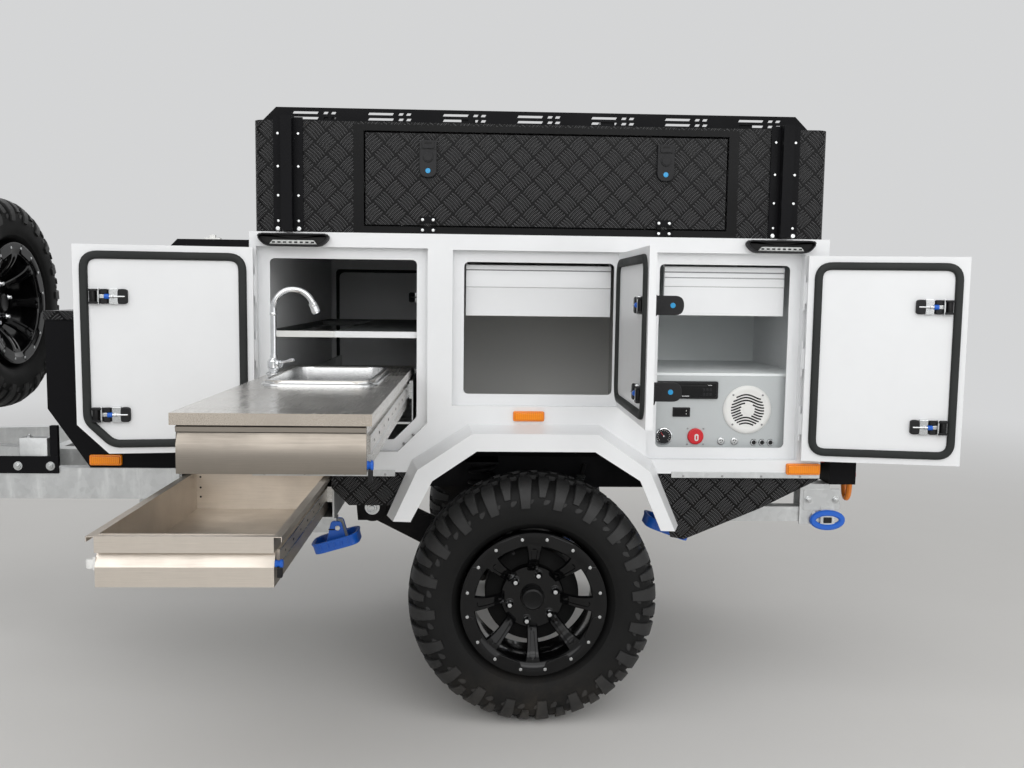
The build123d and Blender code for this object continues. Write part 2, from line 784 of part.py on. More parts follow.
def tyre():
    """Tyre about the z axis, its outer side towards +z."""
    half = tyre_width / 2
    r0, r1 = rim_radius + running_gap, tyre_radius - tread_groove - carcass_gap
    lip = rim_lip_radius + 4
    bead = half - 22 - running_gap
    profile = [(r0, -bead), (r0, bead), (lip, bead), (lip + 6, half - 14), (lip + 44, half - 2),
               (r1 - 30, half), (r1 - 10, half - 8), (r1 - 10, -half + 8), (r1 - 30, -half),
               (lip + 44, -half + 2), (lip + 6, -half + 14), (lip, -bead)]
    face = make_face(Plane.XZ * Polyline(profile, close=True))
    body = revolve(face, Axis.Z, 360)
    bore = tyre_radius - 60
    for low, high, drop in tread_bands:
        for way, turn in ((1, 0.0), (-1, 180 / tread_blocks)):
            a, b = sorted((way * low, way * high))
            band = tread_ring(a, b, tyre_radius - drop, turn)
            body += band - Pos(0, 0, (a + b) / 2) * Cylinder(bore, b - a + 2)
    return body


def road_wheel(shape):
    """Wheel piece stood upright at the left, its outer side away from the trailer."""
    return Pos(0, -wheel_outer + tyre_width / 2, tyre_radius) * Rot(90, 0, 0) * shape


def wheel_pair():
    """Rims and tyres of both road wheels."""
    parts = {}
    left_rim, left_tyre = road_wheel(rim()), road_wheel(tyre())
    parts["rim_left"], parts["tyre_left"] = left_rim, left_tyre
    parts["rim_right"] = mirror(left_rim, about=Plane.XZ)
    parts["tyre_right"] = mirror(left_tyre, about=Plane.XZ)
    return parts


# Spare wheel, carried upright ahead of the locker, its outer face to the rear

spare_face = locker_front - 356.0
spare_z = 1200.0
carrier_gap, carrier_deep, carrier_half, carrier_hub = 12.0, 60.0, 35.0, 50.0
carrier_foot = 230.0


def spare(shape):
    """Wheel piece stood upright, its outer side looking rearwards."""
    return Pos(spare_face - tyre_width / 2, 0, spare_z) * Rot(0, 90, 0) * Rot(0, 0, 90) * shape


def spare_carrier():
    x = spare_face - tyre_width - carrier_gap
    disc_back = spare_face - rim_inset - disc_depth - disc_thick / 2 - running_gap
    post = block(x - carrier_deep, x, -carrier_half, carrier_half, rail_top + running_gap, spare_z + 60)
    post += rod((x - 1, 0, spare_z), (disc_back, 0, spare_z), carrier_hub)
    post += block(x - 90, x + 30, -carrier_foot, carrier_foot, rail_top + running_gap, rail_top + 10)
    for hand in (-1, 1):
        post += bar((x - 30, hand * 160, rail_top + 22), (x - 30, hand * 20, spare_z - 160), 30, 30)
    return post


# Front locker

locker_hinge_x = body_front - 22.0
locker_hinge_z = locker_seam + 18.0
locker_hinges = (-420.0, 0.0, 420.0)


def locker_outline(grow):
    return [(locker_front + grow, locker_bottom + locker_nose),
            (locker_front + locker_slant + grow / 2, locker_bottom + grow),
            (body_front - 6 - grow, locker_bottom + grow),
            (body_front - 6 - grow, locker_seam), (locker_front + grow, locker_seam)]


def front_locker():
    half = locker_half
    outer = side_plate(locker_outline(0), -half, half)
    inner_points = locker_outline(locker_wall)
    inner_points[3] = (inner_points[3][0], locker_seam + 10)
    inner_points[4] = (inner_points[4][0], locker_seam + 10)
    locker = outer - side_plate(inner_points, -half + locker_wall, half - locker_wall)
    for y in locker_hinges:
        for way in (-1, 1):
            near, far = y + way * (14 + running_gap), y + way * 34
            locker += rod((locker_hinge_x, near, locker_hinge_z), (locker_hinge_x, far, locker_hinge_z), 5)
            locker += block(locker_hinge_x, locker_hinge_x + 12, near, far,
                            locker_seam - 10, locker_hinge_z)
    return locker


def locker_lid():
    half = locker_half
    x0, x1 = locker_front - 3, body_front - 28
    z0 = locker_seam + 2.0
    lid = block(x0, x1, -half - 3, half + 3, z0, locker_top)
    lid -= block(x0 + 3, x1 - 3, -half + locker_wall + 6, half - locker_wall - 6,
                 z0 - 1, locker_top - 8)
    for y in locker_hinges:
        lid += rod((locker_hinge_x, y - 14, locker_hinge_z), (locker_hinge_x, y + 14, locker_hinge_z), 5)
        lid += block(x1 - 1, locker_hinge_x, y - 14, y + 14, locker_hinge_z - 5, locker_hinge_z)
    return lid


# Rear bar and shackles

bar_end = side - 80.0
shackle_pin, shackle_wire, shackle_leg, shackle_gape = 11.0, 9.0, 62.0, 22.0
shackle_x, shackle_y, shackle_z = 165.0, side - 210.0, body_bottom - 32.0
ear_half = 8.0


def rear_bar():
    x0 = body_rear + running_gap
    bar_body = block(x0 + 60, x0 + 140, -bar_end, bar_end, body_bottom - 46, body_bottom + 30)
    for hand in (-1, 1):
        bar_body += block(x0, x0 + 61, hand * (rail_y - 25), hand * (rail_y + 35), body_bottom - 40,
                          body_bottom + 10)
        ear = block(x0 + 139, x0 + shackle_x + 20, hand * (shackle_y - ear_half),
                    hand * (shackle_y + ear_half), body_bottom - 60, body_bottom + 6)
        ear -= rod((x0 + shackle_x, hand * (shackle_y - 20), shackle_z),
                   (x0 + shackle_x, hand * (shackle_y + 20), shackle_z), shackle_pin + running_gap)
        bar_body += ear
    return bar_body


def shackles():
    found = []
    x, z = body_rear + running_gap + shackle_x, shackle_z
    low = z - shackle_leg
    for hand in (-1, 1):
        y = hand * shackle_y
        pin = rod((x, y - 32, z), (x, y + 32, z), shackle_pin)
        ends = [rod((x, y + s * shackle_gape, low), (x, y + s * shackle_gape, z + 12), shackle_wire)
                for s in (-1, 1)]
        bow = Pos(x, y, low) * Rot(0, 90, 0) * Torus(shackle_gape, shackle_wire)
        bow &= block(x - 40, x + 40, y - 40, y + 40, low - 60, low)
        shackle = pin + ends[0] + ends[1] + bow
        found.append(shackle)
    return found


# Stabiliser legs, stowed level under the floor

leg_y = side - 125.0
leg_bolt = 8.0
leg_table = [
    # name, pivot x, pivot z, direction of the stowed leg, length, drop and tilt of its foot
    ("rear", body_rear + 23.0, 596.0, -1, 448.0, 43.0, 20.0),
    ("front", housing_x0 - 56.0, 556.0, 1, 500.0, 52.0, 16.0),
]
foot_long, foot_wide, foot_high, foot_wall = 136.0, 104.0, 30.0, 4.0
foot_corner = 30.0
foot_ear = (66.0, 26.0)


def foot_pan(tilt):
    """Dished foot with an ear each side of the leg, about the pan's middle."""
    pan = Box(foot_long, foot_wide, foot_high)
    pan = fillet(pan.edges().filter_by(Axis.Z), foot_corner)
    hollow = Box(foot_long - 2 * foot_wall, foot_wide - 2 * foot_wall, foot_high)
    hollow = fillet(hollow.edges().filter_by(Axis.Z), foot_corner - foot_wall)
    return Rot(0, tilt, 0) * (pan - Pos(0, 0, foot_wall) * hollow)


def leg(entry, hand):
    name, x, z, run, length, drop, tilt = entry
    y = hand * leg_y
    end = x + run * length
    tube = block(x - run * 20, end, y - leg_side / 2, y + leg_side / 2,
                 z - leg_side / 2, z + leg_side / 2)
    tube += Pos(end, y, z - drop) * foot_pan(-run * tilt)
    for edge in (-1, 1):
        near, far = y + edge * (leg_side / 2 - 0.5), y + edge * (leg_side / 2 + foot_wall)
        wide, narrow = foot_ear[0] / 2, foot_ear[1] / 2
        rise = run * math.tan(math.radians(tilt)) * wide
        low = z - drop - foot_high / 2 + foot_wall / 2
        ear = [(end - wide, low - rise), (end + wide, low + rise),
               (end + narrow, z + 10), (end - narrow, z + 10)]
        tube += side_plate(ear, near, far)
    tube -= rod((x, y - 40, z), (x, y + 40, z), leg_bolt + shaft_gap)
    return tube


bracket_half, bracket_drop = 45.0, 30.0


def leg_brackets():
    found = []
    inner, outer = leg_side / 2 + 1.5, leg_side / 2 + 6.5
    for name, x, z, run in [entry[:4] for entry in leg_table]:
        top = outrigger_low if run < 0 else deck_low
        for hand in (-1, 1):
            y = hand * leg_y
            bracket = block(x - bracket_half, x + bracket_half, y - outer, y + outer, top - 5, top)
            for edge in (-1, 1):
                bracket += block(x - bracket_half, x + bracket_half, y + edge * inner,
                                 y + edge * outer, z - bracket_drop, top)
            bracket += rod((x, y - outer - 5, z), (x, y + outer + 5, z), leg_bolt)
            found.append(bracket)
    return found


# Doors

def door_panel(entry, hand):
    """Door tray, closed: outer skin, folded rim and inner lining."""
    name, x0, x1, z0, z1, cut, hinge, opened = entry
    outline = door_outline(entry, -door_gap)
    tray = side_plate(outline, hand * door_outer, hand * door_inner)
    edge = x0 + door_gap if hinge < 0 else x1 - door_gap
    pin_x = x0 if hinge < 0 else x1
    for z in hinge_heights(entry):
        low, high = z - knuckle_half, z + knuckle_half
        tray += rod((pin_x, hand * pivot_side, low), (pin_x, hand * pivot_side, high), hinge_pin)
        tray += block(pin_x, edge - hinge * 30, hand * (side - 0.5), hand * (pivot_side - 1),
                      low, high)
    return tray


# Paddle latches: dish half length, half height and depth, half size and depth of
# the body on the lining, and the pulled-out paddle's thickness, height and reach
dish_half, dish_half_high, dish_deep = 48.0, 27.0, 14.0
lock_half, lock_half_high, lock_deep = 50.0, 22.0, 18.0
paddle_thick, paddle_half_high, paddle_reach, paddle_place = 6.0, 24.0, 92.0, 26.0


def door_latches(entry, hand):
    """Paddle latches on the outer skin and their bodies on the lining. Those of
    the middle door on the left are pulled out, as in the photograph."""
    name, x0, x1, z0, z1, cut, hinge, opened = entry
    free = x1 - latch_inset if hinge < 0 else x0 + latch_inset
    outer, lining = door_outer + running_gap, door_inner - running_gap
    found = []
    for z in (z0 + latch_low + (30.0 if name != "middle" else 0.0), z1 - latch_high):
        dish = block(free - dish_half, free + dish_half, hand * outer,
                     hand * (outer + dish_deep), z - dish_half_high, z + dish_half_high)
        if name == "middle" and hand < 0:
            dish += block(free + paddle_place, free + paddle_place + paddle_thick, hand * outer,
                          hand * (outer + paddle_reach), z - paddle_half_high, z + paddle_half_high)
        found += [dish, block(free - lock_half, free + lock_half, hand * lining,
                              hand * (lining - lock_deep), z - lock_half_high, z + lock_half_high)]
    return found


def hinge_x(entry):
    return entry[1] if entry[6] < 0 else entry[2]


def opened(shape, entry, hand):
    """Shape carried with the door to where it stands open."""
    swing = entry[7] * (1 if entry[6] > 0 else -1)
    return turned(shape, hinge_x(entry), hand * pivot_side, swing)


# Kitchen bench

bench_front = -(side + bench_out)
bench_setback = 10.0
sink_length, sink_width, sink_depth = 420.0, bench_width - 101.0, 100.0
sink_rim, sink_rim_high, sink_corner = 12.0, 14.0, 40.0
sink_y = bench_front + 700.0
tap_x, tap_y = bench_x0 + 16.5, bench_front + 812.0
# moving member of a slide: thickness and half height
member_thick, member_half = 5.0, 18.0
bench_slide_z = bench_top - 62.0


def rounded_block(x0, x1, y0, y1, z0, z1, corner):
    """Box between two corners, its upright edges rounded."""
    return fillet(block(x0, x1, y0, y1, z0, z1).edges().filter_by(Axis.Z), corner)


def bench():
    x0, x1 = bench_x0 + bench_overhang, bench_x1 - bench_overhang
    y0, y1 = bench_front, bench_front + bench_length
    z0, z1 = bench_top - bench_height, bench_top
    slab_low = z1 - bench_slab
    slab = block(bench_x0, bench_x1, y0, y1, slab_low, z1)
    slab -= block(bench_x0 + steel, bench_x1 - steel, y0 + steel, y1 - steel, slab_low - 1, z1 - steel)
    tray = block(x0, x1, y0 + bench_setback, y1 - steel, z0, z1 - steel / 2)
    tray -= block(x0 + steel, x1 - steel, y0 + bench_setback + steel, y1 - 2 * steel,
                  z0 - 1, z1 - steel)
    top = slab + tray
    for edge, way in ((x0, -1), (x1, 1)):
        top += block(edge - way * steel / 2, edge + way * member_thick, y0 + 40, y1 - steel,
                     bench_slide_z - member_half, bench_slide_z + member_half)
    sx0, sx1 = bench_x - sink_width / 2, bench_x + sink_width / 2
    sy0, sy1 = sink_y - sink_length / 2, sink_y + sink_length / 2
    inset = sink_rim - steel
    outer = rounded_block(sx0 + inset, sx1 - inset, sy0 + inset, sy1 - inset,
                          z1 - sink_depth, z1 + sink_rim_high, sink_corner)
    rim_ring = rounded_block(sx0, sx1, sy0, sy1, z1 - steel / 2, z1 + sink_rim_high,
                             sink_corner + inset)
    hollow = rounded_block(sx0 + sink_rim, sx1 - sink_rim, sy0 + sink_rim, sy1 - sink_rim,
                           z1 - sink_depth + steel, z1 + sink_rim_high + 1, sink_corner - steel)
    return top + outer + rim_ring - hollow


# Tap: pipe and foot radius, height of the bend's middle, the bend's own radius,
# nozzle radius and length, lever height and length
pipe_radius, tap_foot, tap_foot_high = 8.0, 16.0, 40.0
bend_z, bend_radius = bench_top + 175.0, 52.0
nozzle_radius, nozzle_length = 11.0, 38.0
lever_radius, lever_low, lever_high, lever_length = 6.0, 24.0, 44.0, 70.0


def tap():
    z, x_out = bench_top + running_gap, tap_x + 2 * bend_radius
    body = rod((tap_x, tap_y, z), (tap_x, tap_y, z + tap_foot_high), tap_foot)
    body += rod((tap_x, tap_y, z + tap_foot_high - 1), (tap_x, tap_y, bend_z), pipe_radius)
    bend = Pos(tap_x + bend_radius, tap_y, bend_z) * Rot(90, 0, 0) * Torus(bend_radius, pipe_radius)
    body += bend & block(tap_x - 20, x_out + 20, tap_y - 20, tap_y + 20, bend_z,
                         bend_z + bend_radius + 20)
    body += rod((x_out, tap_y, bend_z + 1), (x_out, tap_y, bend_z - nozzle_length), nozzle_radius)
    body += rod((tap_x, tap_y, z + lever_low), (tap_x + lever_length, tap_y, z + lever_high),
                lever_radius)
    return body


def slide_pair(x0, x1, y0, y1, z, height, inner, outer):
    """Fixed outer members of a slide pair, from inner to outer beyond what runs in them."""
    found = []
    for x, out in ((x0, -1), (x1, 1)):
        found.append(block(x + out * (inner + running_gap), x + out * (outer - running_gap), y0, y1,
                           z - height / 2, z + height / 2))
    return found


slide_high, slide_back = 52.0, side - 190.0
base_low, base_thick, base_wall = floor_top + 82.0, 6.0, 3.0


def bench_slides():
    x0, x1 = bench_x0 + bench_overhang, bench_x1 - bench_overhang
    y0 = -inner_side + 12
    slides = slide_pair(x0, x1, y0, slide_back, bench_slide_z, slide_high, member_thick, slide_thick)
    base = block(x0 - slide_thick, x1 + slide_thick, y0, slide_back, base_low, base_low + base_thick)
    for x in (x0 - slide_thick - base_wall, x1 + slide_thick):
        base += block(x, x + base_wall, y0, slide_back, floor_top + running_gap,
                      bench_slide_z + slide_high / 2)
    return slides + [base]


# Underfloor drawer

drawer_front = -(side + drawer_out)


def tray_box(x0, x1, y0, y1, z0, z1, wall):
    outer = block(x0, x1, y0, y1, z0, z1)
    return outer - block(x0 + wall, x1 - wall, y0 + wall, y1 - wall, z0 + wall, z1 + 1)


# front of the drawer: thickness, and where its finger groove starts and ends
# below the top, and how deep it is
front_thick, groove_top, groove_end, groove_deep = 24.0, 37.0, 71.0, 18.0
drawer_slide_z = (drawer_top + drawer_bottom) / 2
drawer_slide_high = 46.0


def floor_drawer():
    x0, x1 = drawer_x - drawer_width / 2, drawer_x + drawer_width / 2
    y0, y1 = drawer_front, drawer_front + drawer_length
    top = drawer_top
    drawer = tray_box(x0, x1, y0, y1, drawer_bottom, top, steel)
    drawer += block(x0, x1, y0, y0 + front_thick, drawer_bottom, top)
    drawer -= cross_plate([(y0 - 1, top - groove_top), (y0 + groove_deep, top - groove_top),
                           (y0 - 1, top - groove_end)], x0 - 1, x1 + 1)
    for edge, way in ((x0, -1), (x1, 1)):
        drawer += block(edge - way * steel / 2, edge + way * drawer_flange, y0, y1, top - steel, top)
        drawer += block(edge + way * (drawer_flange - steel), edge + way * drawer_flange, y0, y1,
                        top - drawer_lip, top)
        drawer += block(edge - way * steel / 2, edge + way * member_thick, y0 + 40, y1,
                        drawer_slide_z - member_half, drawer_slide_z + member_half)
    return drawer


def floor_drawer_slides():
    x0, x1 = drawer_x - drawer_width / 2, drawer_x + drawer_width / 2
    return slide_pair(x0, x1, housing_y0 + 10, housing_y1 - 20, drawer_slide_z, drawer_slide_high,
                      member_thick, slide_room)


# Inner drawers behind the middle and rear doors: face x0, x1, z0, z1
inner_drawers = [
    ("middle", -203.0, 219.0, 1190.0, 1337.0),
    ("rear", rear_door_x0 + 52.0, rear_door_x1 - 38.0, 1198.0, 1340.0),
]
inner_drawer_length = 500.0
face_setback = 30.0
face_thick, tray_inset, tray_rise, tray_drop, tray_wall = 14.0, 16.0, 6.0, 30.0, 3.0


def inner_drawer(entry):
    name, x0, x1, z0, z1 = entry
    front = -(inner_side - face_setback)
    face = block(x0, x1, front, front + face_thick, z0, z1)
    tray = tray_box(x0 + tray_inset, x1 - tray_inset, front + face_thick - 1,
                    front + inner_drawer_length, z0 + tray_rise, z1 - tray_drop, tray_wall)
    return face + tray


def inner_slides():
    found = []
    for name, x0, x1, z0, z1 in inner_drawers:
        front = -(inner_side - face_setback)
        left, right = x0 + tray_inset, x1 - tray_inset
        z = (z0 + z1) / 2
        y0, y1 = front + 20, front + inner_drawer_length
        pair = slide_pair(left, right, y0, y1, z, 40, 0.0, slide_thick)
        for slide, x, out in ((pair[0], left, -1), (pair[1], right, 1)):
            hung = x + out * (slide_thick - running_gap)
            found.append(slide + block(hung, hung + out * 3, y0, y1, z - 20, ceiling))
    return found


# Jockey wheel

jockey_x, jockey_y = coupling_x + 500.0, -225.0
jockey_radius = 100.0
jockey_width = 56.0
jockey_trail = 34.0
stem_radius, stem_low, stem_top = 30.0, 300.0, 960.0
foot_tube, foot_tube_low = 24.0, 262.0
crank_z, crank_reach, crank_grip = 984.0, 130.0, 96.0
clamp_half, clamp_thick = 40.0, 24.0
fork_plate, fork_half, fork_side = 8.0, 44.0, 6.0
fork_top = 258.0
jockey_axle = 8.0


def jockey_stem():
    x, y = jockey_x, jockey_y
    tube = rod((x, y, stem_low), (x, y, stem_top), stem_radius)
    tube += rod((x, y, foot_tube_low), (x, y, stem_low + 1), foot_tube)
    tube += rod((x, y, stem_top - 1), (x, y, crank_z + 6), 12)
    tube += rod((x, y, crank_z), (x + crank_reach, y, crank_z), 8)
    tube += rod((x + crank_reach, y, crank_z - 8), (x + crank_reach, y, crank_z + crank_grip), 11)
    face = -drawbar_face(x + clamp_half) - running_gap
    for z in (rail_bottom + 20, rail_top - 20):
        tube += block(x - clamp_half, x + clamp_half, y, face, z - clamp_thick / 2, z + clamp_thick / 2)
    return tube


def jockey_fork():
    z, y = jockey_radius, jockey_y
    x = jockey_x + jockey_trail
    cheek = 28.0
    fork = block(x - jockey_trail - cheek, x + cheek, y - fork_half, y + fork_half,
                 fork_top - fork_plate, fork_top)
    for hand in (-1, 1):
        fork += block(x - cheek, x + cheek, y + hand * (fork_half - fork_side), y + hand * fork_half,
                      z - 24, fork_top)
    fork += rod((x, y - fork_half, z), (x, y + fork_half, z), jockey_axle)
    fork += rod((jockey_x, y, fork_top), (jockey_x, y, foot_tube_low - running_gap), foot_tube - 2)
    return fork


def jockey_wheel():
    x = jockey_x + jockey_trail
    wheel = Cylinder(jockey_radius, jockey_width) - Cylinder(jockey_axle + shaft_gap, jockey_width + 2)
    wheel = chamfer(wheel.edges().filter_by(GeomType.CIRCLE).sort_by(SortBy.RADIUS)[-2:], 9)
    return Pos(x, jockey_y, jockey_radius) * Rot(90, 0, 0) * wheel


def build_all():
    parts = {
        "chassis": chassis(),
        "coupling": coupling(),
        "body_shell": body_shell(),
        "arch_liners": both_sides(arch_liner()),
        "partitions": [partitions(), kitchen_shelf()],
        "control_panel": control_panel(),
        "speaker": speaker(),
        "panel_devices": radio() + sockets(),
        "roof_box": roof_box(),
        "rack_posts": rack_posts(),
        "rack_rails": both_sides(rack_rail()),
        "rack_bars": rack_bars(),
        "work_lamps": work_lamps(),
        "marker_lamps": marker_lamps(),
        "tail_lamps": tail_lamps(),
        "fender_flares": both_sides(flare()),
        "skirts": skirts(),
        "trailing_arms": both_sides(trailing_arm()),
        "springs": both_sides(spring()[0]) + both_sides(spring()[1]),
        "spare_carrier": spare_carrier(),
        "spare_rim": spare(rim(drum=False)),
        "spare_tyre": spare(tyre()),
        "front_locker": front_locker(),
        "locker_lid": locker_lid(),
        "rear_bar": rear_bar(),
        "shackles": shackles(),
        "leg_brackets": leg_brackets(),
        "jockey_stem": jockey_stem(),
        "jockey_fork": jockey_fork(),
        "jockey_wheel": jockey_wheel(),
        "bench": bench(),
        "tap": tap(),
        "floor_drawer": floor_drawer(),
        "slide_rails": bench_slides() + floor_drawer_slides() + inner_slides(),
    }
    parts.update(wheel_pair())
    for entry in inner_drawers:
        parts[entry[0] + "_drawer"] = inner_drawer(entry)
    for hand, word in ((-1, "left"), (1, "right")):
        parts["hatch_" + word] = hatch(hand)
        for entry in leg_table:
            parts["leg_" + entry[0] + "_" + word] = leg(entry, hand)
        for entry in door_table:
            panel, latches = door_panel(entry, hand), door_latches(entry, hand)
            if hand < 0:
                panel = opened(panel, entry, hand)
                latches = [opened(piece, entry, hand) for piece in latches]
            parts["door_" + entry[0] + "_" + word] = panel
            parts["latches_" + entry[0] + "_" + word] = latches
    return parts


def write(parts):
    os.makedirs("parts", exist_ok=True)
    shift = Pos(-coupling_x, 0, -coupling_height)
    for name, shape in parts.items():
        pieces = shape if isinstance(shape, list) else [shape]
        pieces = [shift * piece for piece in pieces]
        whole = pieces[0] if len(pieces) == 1 else Compound(children=pieces)
        export_step(whole, "parts/" + name + ".step")


write(build_all())
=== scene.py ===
import bpy
import bmesh
import json
import numpy as np
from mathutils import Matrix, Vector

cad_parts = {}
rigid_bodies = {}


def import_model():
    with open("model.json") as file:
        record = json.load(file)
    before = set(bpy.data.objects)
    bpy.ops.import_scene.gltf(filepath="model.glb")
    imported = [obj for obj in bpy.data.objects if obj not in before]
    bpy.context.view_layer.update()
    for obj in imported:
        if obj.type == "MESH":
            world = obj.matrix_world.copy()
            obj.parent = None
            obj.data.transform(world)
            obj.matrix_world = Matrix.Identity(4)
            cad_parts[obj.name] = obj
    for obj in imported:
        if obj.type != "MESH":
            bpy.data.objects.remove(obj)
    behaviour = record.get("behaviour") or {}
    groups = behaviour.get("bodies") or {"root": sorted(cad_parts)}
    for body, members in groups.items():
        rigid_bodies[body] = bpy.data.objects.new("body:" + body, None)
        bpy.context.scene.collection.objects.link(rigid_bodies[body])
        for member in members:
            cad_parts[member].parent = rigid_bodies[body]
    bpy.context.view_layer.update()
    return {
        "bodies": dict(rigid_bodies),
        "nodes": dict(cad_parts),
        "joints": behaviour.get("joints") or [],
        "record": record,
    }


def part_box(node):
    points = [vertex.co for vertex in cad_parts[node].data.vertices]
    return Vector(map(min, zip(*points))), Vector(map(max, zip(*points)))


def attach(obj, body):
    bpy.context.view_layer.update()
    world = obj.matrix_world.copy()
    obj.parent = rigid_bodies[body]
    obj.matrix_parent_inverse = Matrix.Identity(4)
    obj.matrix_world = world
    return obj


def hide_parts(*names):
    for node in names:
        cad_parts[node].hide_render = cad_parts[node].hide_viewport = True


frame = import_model()
nodes = frame["nodes"]
tyreLow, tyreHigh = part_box("tyre_left")
axleX = (tyreLow.x + tyreHigh.x) / 2
groundZ = tyreLow.z
print("frame loaded: wheel axle at x", round(axleX, 3), "ground at z", round(groundZ, 3))

# Sizes below are millimetres: x from the wheel axle to the rear, y from the
# centre plane to the right-hand side, z from the ground up.


mmPerMetre = 1000.0


def toFrame(points):
    return np.asarray(points, float) / mmPerMetre + [axleX, 0.0, groundZ]


# Shader helpers

def put(tree, kind, **settings):
    node = tree.nodes.new(kind)
    for key, value in settings.items():
        setattr(node, key, value)
    return node


def feed(tree, socket, value):
    if isinstance(value, bpy.types.NodeSocket):
        tree.links.new(value, socket)
    else:
        socket.default_value = value


def calc(tree, operation, *values, clamp=False):
    node = put(tree, "ShaderNodeMath", operation=operation, use_clamp=clamp)
    for socket, value in zip(node.inputs, values):
        feed(tree, socket, value)
    return node.outputs[0]


def ramp(tree, value, low, high, toLow=0.0, toHigh=1.0):
    node = put(tree, "ShaderNodeMapRange", interpolation_type="SMOOTHSTEP")
    for socket, number in zip(node.inputs, (value, low, high, toLow, toHigh)):
        feed(tree, socket, number)
    return node.outputs[0]


def blendColour(tree, mask, first, second):
    node = put(tree, "ShaderNodeMix", data_type="RGBA")
    feed(tree, node.inputs["Factor"], mask)
    for socket, colour in ((node.inputs[6], first), (node.inputs[7], second)):
        feed(tree, socket, colour if isinstance(colour, bpy.types.NodeSocket) else (*colour, 1.0))
    return node.outputs[2]


def scaled(colour, factor):
    return tuple(c * factor for c in colour)


def noise(tree, vector, scale, detail=3.0, roughness=0.5):
    node = put(tree, "ShaderNodeTexNoise")
    feed(tree, node.inputs["Vector"], vector)
    feed(tree, node.inputs["Scale"], scale)
    node.inputs["Detail"].default_value = detail
    node.inputs["Roughness"].default_value = roughness
    return node.outputs["Fac"]


def stretch(tree, vector, scale):
    node = put(tree, "ShaderNodeMapping")
    feed(tree, node.inputs["Vector"], vector)
    feed(tree, node.inputs["Scale"], scale)
    return node.outputs["Vector"]


def makeGroup(name, inputs, outputs):
    group = bpy.data.node_groups.new(name, "ShaderNodeTree")
    for label, kind, value in inputs:
        socket = group.interface.new_socket(label, in_out="INPUT", socket_type="NodeSocket" + kind)
        if value is not None:
            socket.default_value = value
    for label in outputs:
        group.interface.new_socket(label, in_out="OUTPUT", socket_type="NodeSocketFloat")
    return group, put(group, "NodeGroupInput"), put(group, "NodeGroupOutput")


def useGroup(tree, group, **values):
    node = put(tree, "ShaderNodeGroup", node_tree=group)
    for label, value in values.items():
        feed(tree, node.inputs[label], value)
    return node.outputs


# Shared effects, each built once as a node group

def makePaintGrain():
    group, given, out = makeGroup("paintGrain", [("Vector", "Vector", None), ("Size", "Float", 700.0)],
                                  ["Height", "Tone"])
    peel = noise(group, given.outputs["Vector"], given.outputs["Size"], 2.0)
    cloud = noise(group, given.outputs["Vector"], 4.5, 4.0, 0.6)
    feed(group, out.inputs["Height"], peel)
    feed(group, out.inputs["Tone"], cloud)
    return group


def makeDust():
    # more dust the lower a point is, broken up by two noises
    group, given, out = makeGroup("roadDust", [("Vector", "Vector", None), ("Low", "Float", groundZ),
                                               ("High", "Float", 0.3), ("Amount", "Float", 0.3)], ["Mask"])
    split = put(group, "ShaderNodeSeparateXYZ")
    feed(group, split.inputs[0], given.outputs["Vector"])
    fall = ramp(group, split.outputs["Z"], given.outputs["Low"], given.outputs["High"], 1.0, 0.0)
    patches = ramp(group, noise(group, given.outputs["Vector"], 9.0, 6.0, 0.65), 0.35, 0.75)
    specks = noise(group, given.outputs["Vector"], 140.0, 4.0, 0.7)
    mask = calc(group, "MULTIPLY", fall, calc(group, "MULTIPLY", patches, specks))
    feed(group, out.inputs["Mask"], calc(group, "MULTIPLY", mask, given.outputs["Amount"], clamp=True))
    return group


def makeBrushed():
    # long fine lines along one axis: noise whose coordinates are squeezed across it
    group, given, out = makeGroup("brushedLines", [("Vector", "Vector", None),
                                                   ("Lines", "Vector", (12.0, 900.0, 900.0))],
                                  ["Height", "Tone"])
    lines = noise(group, stretch(group, given.outputs["Vector"], given.outputs["Lines"]), 1.0, 3.0, 0.7)
    smears = noise(group, given.outputs["Vector"], 6.0, 5.0, 0.6)
    feed(group, out.inputs["Height"], lines)
    feed(group, out.inputs["Tone"], calc(group, "ADD", calc(group, "MULTIPLY", lines, 0.5),
                                         calc(group, "MULTIPLY", smears, 0.5)))
    return group


def makeSpangle():
    # zinc crystals: each cell of a Voronoi pattern has its own tone
    group, given, out = makeGroup("zincSpangle", [("Vector", "Vector", None), ("Size", "Float", 90.0)],
                                  ["Tone", "Streak"])
    cells = put(group, "ShaderNodeTexVoronoi", feature="F1")
    feed(group, cells.inputs["Vector"], given.outputs["Vector"])
    feed(group, cells.inputs["Scale"], given.outputs["Size"])
    split = put(group, "ShaderNodeSeparateColor")
    feed(group, split.inputs[0], cells.outputs["Color"])
    feed(group, out.inputs["Tone"], split.outputs[0])
    streak = noise(group, stretch(group, given.outputs["Vector"], (9.0, 9.0, 1.6)), 3.0, 6.0, 0.65)
    feed(group, out.inputs["Streak"], streak)
    return group


